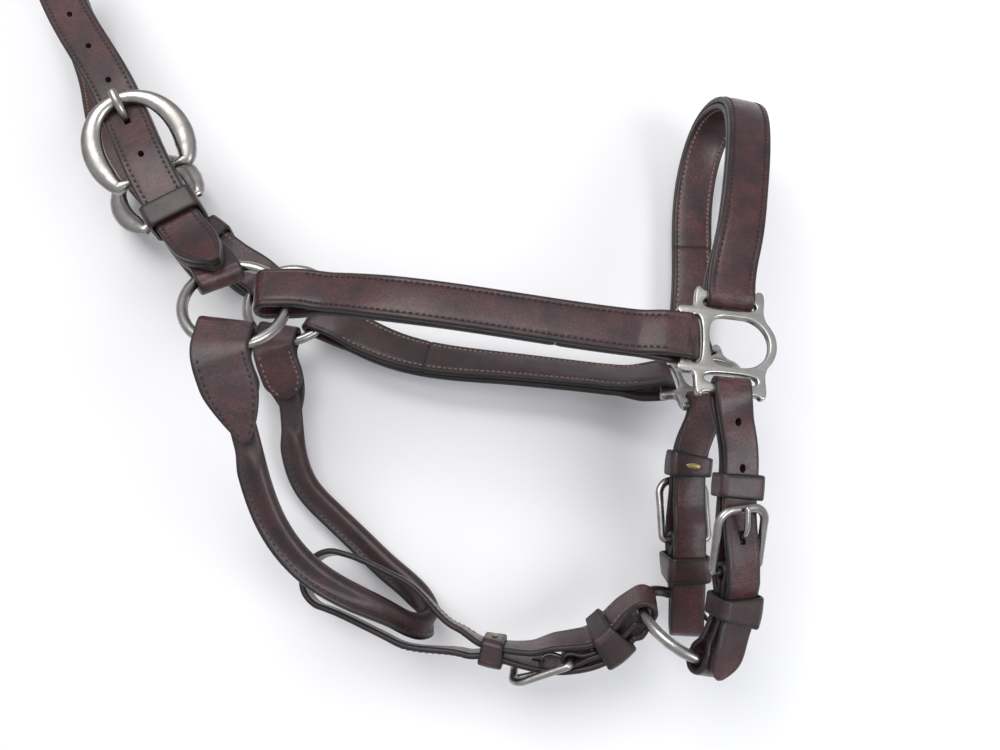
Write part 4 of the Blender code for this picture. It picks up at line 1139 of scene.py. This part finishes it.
def crown_frame(side, hinge):
    """A horseshoe of fat oval bar with a lobe at each end, and its straight bar."""
    middle = 17.3
    end = radians(128)
    reach = CROWN_REACH - middle
    points = []
    half = []
    high = []
    for a in np.linspace(-end, end, 90):
        x, y = middle + reach * cos(a), CROWN_HALF_WIDTH * sin(a)
        swell = min(max((x + 7.0) / 15.0, 0.0), 1.0)
        side_share = swell * sin(a) ** 2
        fat = (CROWN_FAT + FATTER_SIDES) * side_share
        points.append(hinge.lifted(x, y - np.sign(y) * CROWN_FAT * side_share, CROWN_TILT))
        lobe = sin(max(0.0, 1 - abs(end - abs(a)) / 0.30) * pi / 2)
        half.append(CROWN_BAR + 1.1 * swell + fat + 0.7 * lobe)
        high.append(CROWN_BAR + 0.1 * swell + 0.35 * fat + 0.6 * lobe)
    for y in np.linspace(16.5, -16.5, 30):
        points.append(hinge.lifted(0.0, y, CROWN_TILT))
        ends = max(0.0, (abs(y) - 13.5) / 3.0)
        half.append(CROWN_BAR - 0.2 + 0.9 * ends)
        high.append(CROWN_BAR - 0.2 + 0.5 * ends)
    ups = [hinge.frame_up(CROWN_TILT)] * len(points)
    made = sweep(side + "_crown_horseshoe", points, ups, half, high, satin_nickel, True, 20)
    frame_name = side + "_crown_buckle_frame"
    placed(made, frame_name, frame_name)


def filled(loop, step):
    """A closed loop with more points along its straight sides."""
    made = []
    for a, b in zip(loop, loop[1:] + loop[:1]):
        count = max(1, round(np.hypot(b[0] - a[0], b[1] - a[1]) / step))
        made += [tuple(np.array(a) + (np.array(b) - np.array(a)) * k / count)
                 for k in range(count)]
    return made


def chin_frame(side, hinge):
    """A rim with two wide corners at its front and two tight ones at its bar."""
    points = []
    for cx, cy, radius, first in ((CHIN_REACH - 8, CHIN_HALF_WIDTH - 8, 8, 90),
                                  (CHIN_REACH - 8, 8 - CHIN_HALF_WIDTH, 8, 0),
                                  (2.5, 2.5 - CHIN_HALF_WIDTH, 2.5, -90),
                                  (2.5, CHIN_HALF_WIDTH - 2.5, 2.5, -180)):
        for k in range(13):
            a = radians(first - 7.5 * k)
            points.append((cx + radius * cos(a), cy + radius * sin(a)))
    dense = filled(points, 1.6)
    spots = [hinge.lifted(x, y, CHIN_TILT) for x, y in dense]
    ups = [hinge.frame_up(CHIN_TILT)] * len(spots)
    flatter = [0.25 * min(max((x - 20) / 8, 0), 1) for x, _ in dense]
    flat = [CHIN_BAR + more for more in flatter]
    high = [CHIN_BAR - more for more in flatter]
    made = sweep(side + "_buckle_rim", spots, ups, flat, high, satin_nickel, True, 18)
    frame_name = side + "_buckle_frame"
    placed(made, frame_name, frame_name)


def tongue(side, hinge, bar, thick, route):
    """A pin from its eye round the bar to its rounded tip, fatter past its bend."""
    steps = 90
    eye = bar + 0.3 + thick
    shape = [(eye * cos(radians(a)), eye * sin(radians(a))) for a in range(-50, -271, -20)]
    line = curve_through([(x, z, 0.0) for x, z in shape + route], steps)
    points = [hinge.at(x, 0, z) for x, z, _ in line]
    size = [thick * (1 + 0.30 * min(max((k - 62) / 10, 0.0), 1.0)) for k in range(steps)]
    for k, share in ((-1, 0.35), (-2, 0.72), (-3, 0.9), (0, 0.6)):
        size[k] *= share
    made = sweep(side + "_buckle_pin", points, [hinge.across] * steps, size,
                 [value * 1.1 for value in size], satin_nickel, False, 14)
    name = side + "_buckle_tongue"
    placed(made, name, name)


CROWN_ROUTE = [(4.5, 3.1), (9.5, 0.6), (17, -2.4), (25, -3.7), (29, -2.6), (31.4, 0.6),
               (33, 5.0), (35, 9.6), (38.5, 12.7), (43.5, 14.3), (49.5, 14.2)]
CHIN_ROUTE = [(3.8, 2.7), (7.5, 0.7), (11.5, -0.7), (14.5, -0.1), (16.6, 2.2), (18.0, 5.4),
              (19.8, 8.2), (23.5, 9.9), (31.0, 10.5), (35.4, 10.6)]


def keeper(name, guide, s, half_length, half_width, low, high):
    """A loop of strap with rounded edges round a stack of layers."""
    corner = 1.9
    thick = 2.1
    loop = []
    for cb, ch, first in ((half_width - corner, high - corner, 0),
                          (corner - half_width, high - corner, 90),
                          (corner - half_width, low + corner, 180),
                          (half_width - corner, low + corner, 270)):
        for k in range(9):
            a = radians(first + 11.25 * k)
            loop.append((cb, ch, cos(a), sin(a)))
    dense = filled(loop, 2.0)
    r = 0.75
    band = []
    for u in (-1, -0.93, -0.84, -0.6, -0.3, 0, 0.3, 0.6, 0.84, 0.93, 1):
        lift = 0.0 if abs(u) < 0.9 else (-r if abs(u) == 1 else -0.22 * r)
        crown_up = 0.22 * (1 - abs(u) ** 2)
        band.append((u * half_length, corner + thick + lift + crown_up,
                     1.0 if abs(u) > 0.83 else 0.0))
    for u in (1, 0.93, 0.84, 0, -0.84, -0.93, -1):
        lift = 0.0 if abs(u) < 0.9 else (0.5 * r if abs(u) == 1 else 0.12 * r)
        band.append((u * half_length, corner + lift, 1.0 if abs(u) > 0.83 else 0.3))
    skin = Skin()
    for cb, ch, ca, sa in dense:
        for length_wise, out, near_edge in band:
            skin.add(guide.place(s + length_wise, cb + out * ca, ch + out * sa), edge=near_edge,
                     along=cb * 2.0 + ch * 2.0, across=length_wise,
                     fold=0.6 if 0.05 < abs(ca * sa) else 0.0)
    made = skin.piece(name + "_band", loft_faces(len(dense), len(band), True), darker_havana_and_far_cheek_shade)
    placed(made, name, name)


def staple(side, guide, s, depth):
    """An oval brass head, domed, with a groove round its rim."""
    c, t, n, across = guide.frame(s)
    rows = [(0.3, 0.88), (0.55, 1.0), (0.85, 1.0), (1.0, 0.93), (1.02, 0.8), (0.95, 0.74),
            (1.12, 0.62), (1.2, 0.35), (1.22, 0.08)]
    sides = 28
    verts = []
    for lift, grow in rows:
        for k in range(sides):
            a = 2 * pi * k / sides
            verts.append(c - (depth + lift) * n + STAPLE_HALF_WIDTH * grow * cos(a) * across
                         + STAPLE_HALF_HEIGHT * grow * sin(a) * t)
    faces = loft_faces(len(rows), sides, False)
    made = mesh_piece(side + "_staple_head", verts, faces, old_brass, 60)
    placed(made, side + "_upper_keeper", side + "_keeper_staple")


# -------------------------------------------------------------------- straps

def folded_strap(name, guide, butt, folds, sags, spans, look):
    """A wide strap folded at both ends, with its stitching."""
    run = folded_run(guide, butt, *folds, *sags)
    made = strap(name + "_leather", guide, run, look, WIDE, 0.45, 0.28)
    placed(made, ROOT, name)
    sewn(name, guide, run, spans, WIDE)


def chape(side, guide):
    """The short strap that holds a crown buckle, with a slot for the buckle's tongue."""
    name = side + "_crown_chape"
    run = chape_run(guide)
    made = strap(name + "_leather", guide, run, havana, WIDE)
    hinge = Hinge(guide, guide.length, 0, 1)
    axes = (hinge.front, hinge.across, hinge.up)
    cut(made, block(name + "_slot", hinge.centre, axes, (-7.5, -2.1, -8), (8, 2.1, 8)))
    placed(made, ROOT, name)
    sewn(name, guide, run, [(14, guide.length - 18, 0)], WIDE)


def crown_strap(name, height, look):
    """One layer of the crown strap, with a slot for each tongue and its holes."""
    run = crown_run(height)
    made = strap(name + "_leather", crown, run, look, WIDE, 0.0, 0.22)
    holes = []
    cutters = []
    for hinge, way in ((near_crown_hinge, 1), (far_crown_hinge, -1)):
        middle = crown.near(hinge.at(CROWN_PIN_AT, 0, 4.0))
        c, t, n, across = crown.frame(middle)
        cutters.append(block(name + "_slot_%d" % (way + 1), c, (t, across, n),
                             (-5.2, -1.9, height - 2.6), (4.6, 1.9, height + 2.6)))
        holes += [middle + way * HOLE_PITCH * k for k in (-1, 1, 2, 3)]
    cutters.append(punch(name + "_holes", crown, holes, height - 2.8, height + 2.8,
                         CROWN_HOLE))
    cut(made, *cutters)
    placed(made, ROOT, name)
    lining = height < 0
    if lining:
        run.rows = run.rows[::-1]      # its stitches show on the side towards the head
    places = stitch_places(crown, run, [(3.0, crown.length - 3.0, 0)], WIDE)
    thread_row(name, places, pale_thread if lining else dark_thread)


def tab(side, guide, width, sag):
    """A pointed tab that joins the throat strap to its ring."""
    name = side + "_throat_tab"
    run = tab_run(width, sag)
    made = strap(name + "_leather", guide, run, havana, width)
    placed(made, ROOT, name)
    sewn(name, guide, run, [(9, TAB_OUTER - 2.0, 1), (9, TAB_INNER - 2.0, -1)], width)


def throat_strap():
    """A strap rolled round a cord: a round body with a stitched flange along it."""
    roll = 4.6
    rolled = [(8.6, -1.1), (8.75, 0.0), (8.6, 1.1), (7.9, 1.6), (6.6, 1.65), (5.2, 1.45),
              (3.6, 1.75)]
    rolled += [(-2.2 + roll * cos(radians(a)), roll * sin(radians(a)))
               for a in (42, 60, 80, 100, 120, 140, 160)]
    rolled += [(-2.2 - roll, 0.0)]
    rolled += [(x, -y) for x, y in reversed(rolled[3:14])]
    flat = [(6.7, -0.8), (6.9, 0.0), (6.7, 0.8), (6.2, 1.25), (5.4, 1.35), (4.2, 1.35), (3.2, 1.35),
            (2.2, 1.35), (1.2, 1.35), (0.0, 1.35), (-1.4, 1.35), (-3.0, 1.35), (-4.6, 1.3),
            (-6.0, 1.1), (-6.8, 0.0)]
    flat += [(x, -y) for x, y in reversed(flat[3:14])]
    edges = [1.0, 1.0, 1.0, 0.7, 0.1] + [0.0] * 18 + [0.1, 0.7, 1.0]
    edges = (edges + [0.0] * len(rolled))[:len(rolled)]
    skin = Skin()
    length = throat.length
    count = round(length / 2.2)
    for s in np.linspace(0, length, count):
        from_end = min(s, length - s)
        round_part = min(max((from_end - 33) / 14, 0), 1)
        round_part = round_part * round_part * (3 - 2 * round_part)
        for (a, b), (c, d), near_edge in zip(flat, rolled, edges):
            skin.add(throat.place(s, -(a + (c - a) * round_part), b + (d - b) * round_part),
                     edge=near_edge, along=s, across=c, fold=0.12)
    made = skin.piece("throat_strap_roll", loft_faces(count, len(flat), False), darker_havana_and_far_cheek_shade)
    placed(made, ROOT, "throat_strap")
    places = []
    for s in np.arange(44, length - 44, 3.4):
        c, t, n, width_way = throat.frame(s)
        for side in (1, -1):
            places.append((c - 5.6 * width_way + side * 1.45 * n, t, side * n, side < 0))
    thread_row("throat_strap", places, dark_thread, radius=0.42)


def buckled(side, plan, loop, holes, spans):
    """A narrow strap with its buckle, its two keepers and the staple of the upper one."""
    name = side + "_strap"
    run = buckled_run(plan, loop)
    made = strap(name + "_leather", plan.guide, run, havana, NARROW, 0.12)
    hinge = plan.hinge
    axes = (hinge.front, hinge.across, hinge.up)
    cutters = [block(name + "_eye_slot", hinge.centre, axes, (-6, -1.7, -5.1), (2.6, 1.7, 5.05)),
               block(name + "_eye_front", hinge.centre, axes, (2.4, -1.7, -5.1), (5.6, 1.7, 4.3)),
               block(name + "_pin_slot", hinge.centre, axes, (14.6, -1.6, 0.6), (21.4, 1.6, 8.4))]
    if holes:
        cutters.append(punch(name + "_holes", plan.guide, holes, 0.2, 6.8, CHIN_HOLE))
    cut(made, *cutters)
    placed(made, ROOT, name)
    sewn(name, plan.guide, run, spans, NARROW, inset=2.9, lift=-0.1)
    chin_frame(side, hinge)
    tongue(side, hinge, CHIN_BAR, CHIN_TONGUE, CHIN_ROUTE)
    wide = NARROW / 2 + KEEPER_ROOM
    keeper(side + "_upper_keeper", plan.guide, plan.upper_keeper, UPPER_KEEPER_HALF, wide,
           INNER_HIGH - 2.5, BILLET_LOW + 2.9)
    keeper(side + "_lower_keeper", plan.guide, plan.lower_keeper, LOWER_KEEPER_HALF, wide,
           plan.inner_late - 2.6, plan.billet_late + 2.6)
    staple(side, plan.guide, plan.upper_keeper, 4.6 - INNER_HIGH)


# --------------------------------------------------------------------- build

for side, plate in (("near_ring", near_ring), ("far_ring", far_ring), ("chin_ring", chin_ring)):
    ring(side, plate)
square("near_square", near_square)
square("far_square", far_square)
folded_strap("near_cheek_strap", near_cheek, NEAR_CHEEK_BUTT, (RING_FOLD, RAIL_FOLD),
             (NEAR_CHEEK_SAG, 0.0), [(9, near_cheek.length - 11, 0)], havana)
# the far cheek strap takes the darker havana as painted shade; it is the same leather as the near
# cheek strap
folded_strap("far_cheek_strap", far_cheek, FAR_CHEEK_BUTT, (RING_FOLD, RAIL_FOLD),
             (RING_SAG, 0.0), [(14, far_cheek.length - 11, 0)], darker_havana_and_far_cheek_shade)
folded_strap("nose_strap", nose, NOSE_BUTT, (RAIL_FOLD, RAIL_FOLD), (0.0, 0.0),
             [(9.5, nose.length - 9.5, 0)], havana)
for side, line, hinge in (("near", near_chape, near_crown_hinge),
                          ("far", far_chape, far_crown_hinge)):
    chape(side, line)
    crown_frame(side, hinge)
    tongue(side + "_crown", hinge, CROWN_BAR, CROWN_TONGUE + FATTER_TONGUE, CROWN_ROUTE)
    keeper(side + "_crown_keeper", line, CROWN_KEEPER_AT, CROWN_KEEPER_HALF,
           WIDE / 2 + KEEPER_ROOM, -4.5, 14.2)
tab("near", near_tab, NEAR_TAB_WIDTH, NEAR_TAB_SAG)
tab("far", far_tab, WIDE, RING_SAG)
crown_strap("crown_strap_outer", LAYER, havana)
crown_strap("crown_strap_lining", -LAYER, lining_leather)
throat_strap()
plans = chin_plans()
buckled("near_chin", plans["near_chin"], rail_loop, CHIN_HOLES, [])
buckled("far_chin", plans["far_chin"], rail_loop, CHIN_HOLES, [])
buckled("connector", plans["connector"], throat_loop, (),
        [(64, 100, 0), (plans["connector"].bar + 12, plans["connector"].flank - 6, -1)])


# -------------------------------------------------------- floor, light, camera

def area_light(name, place, size, power, colour):
    """A round lamp that faces the object; its place is in metres."""
    aim = (0, 0, 0.05)
    data = bpy.data.lights.new(name, "AREA")
    data.shape = "DISK"
    data.size = size
    data.energy = power
    data.color = colour
    made = added(name, data)
    made.location = place
    made.rotation_mode = "QUATERNION"
    made.rotation_quaternion = (Vector(aim) - Vector(place)).to_track_quat("-Z", "Y")


def table():
    """A pale table top far wider than the view."""
    shape = bmesh.new()
    bmesh.ops.create_grid(shape, x_segments=1, y_segments=1, size=6.0)
    mesh = bpy.data.meshes.new("table_top")
    shape.to_mesh(mesh)
    shape.free()
    mesh.materials.append(floor_look())
    added("table_top", mesh)


def room_light():
    """Even light from above that is dimmer towards the horizon, and two soft lamps."""
    world = bpy.data.worlds.new("soft_white")
    world.use_nodes = True
    tree = world.node_tree
    where = tree.nodes.new("ShaderNodeTexCoord")
    height = tree.nodes.new("ShaderNodeSeparateXYZ")
    sky = tree.nodes.new("ShaderNodeValToRGB")
    horizon, overhead = sky.color_ramp.elements
    horizon.position = 0.02
    horizon.color = (0.46, 0.46, 0.48, 1)
    overhead.position = 0.5
    overhead.color = (0.97, 0.975, 1.0, 1)
    tree.links.new(where.outputs["Generated"], height.inputs["Vector"])
    tree.links.new(height.outputs["Z"], sky.inputs["Fac"])
    tree.links.new(sky.outputs["Color"], tree.nodes["Background"].inputs["Color"])
    tree.nodes["Background"].inputs["Strength"].default_value = 0.70
    bpy.context.scene.world = world
    area_light("ceiling_light", (-0.30, 0.50, 1.5), size=1.2, power=18.0,
               colour=(1.0, 0.985, 0.97))
    area_light("window_light", (0.9, -0.5, 1.1), size=0.7, power=8.0, colour=(0.95, 0.97, 1.0))


def camera():
    """Almost overhead, tipped towards +Y."""
    data = bpy.data.cameras.new("camera")
    data.sensor_width = SENSOR
    data.lens = LENS
    data.clip_start = 0.01
    made = added("camera", data)
    made.location = (np.array(CAMERA_AT) + SHIFT) * MM
    made.rotation_euler = (CAMERA_TILT, 0, 0)
    bpy.context.scene.camera = made


table()
room_light()
camera()
bpy.context.scene.view_settings.view_transform = "Standard"
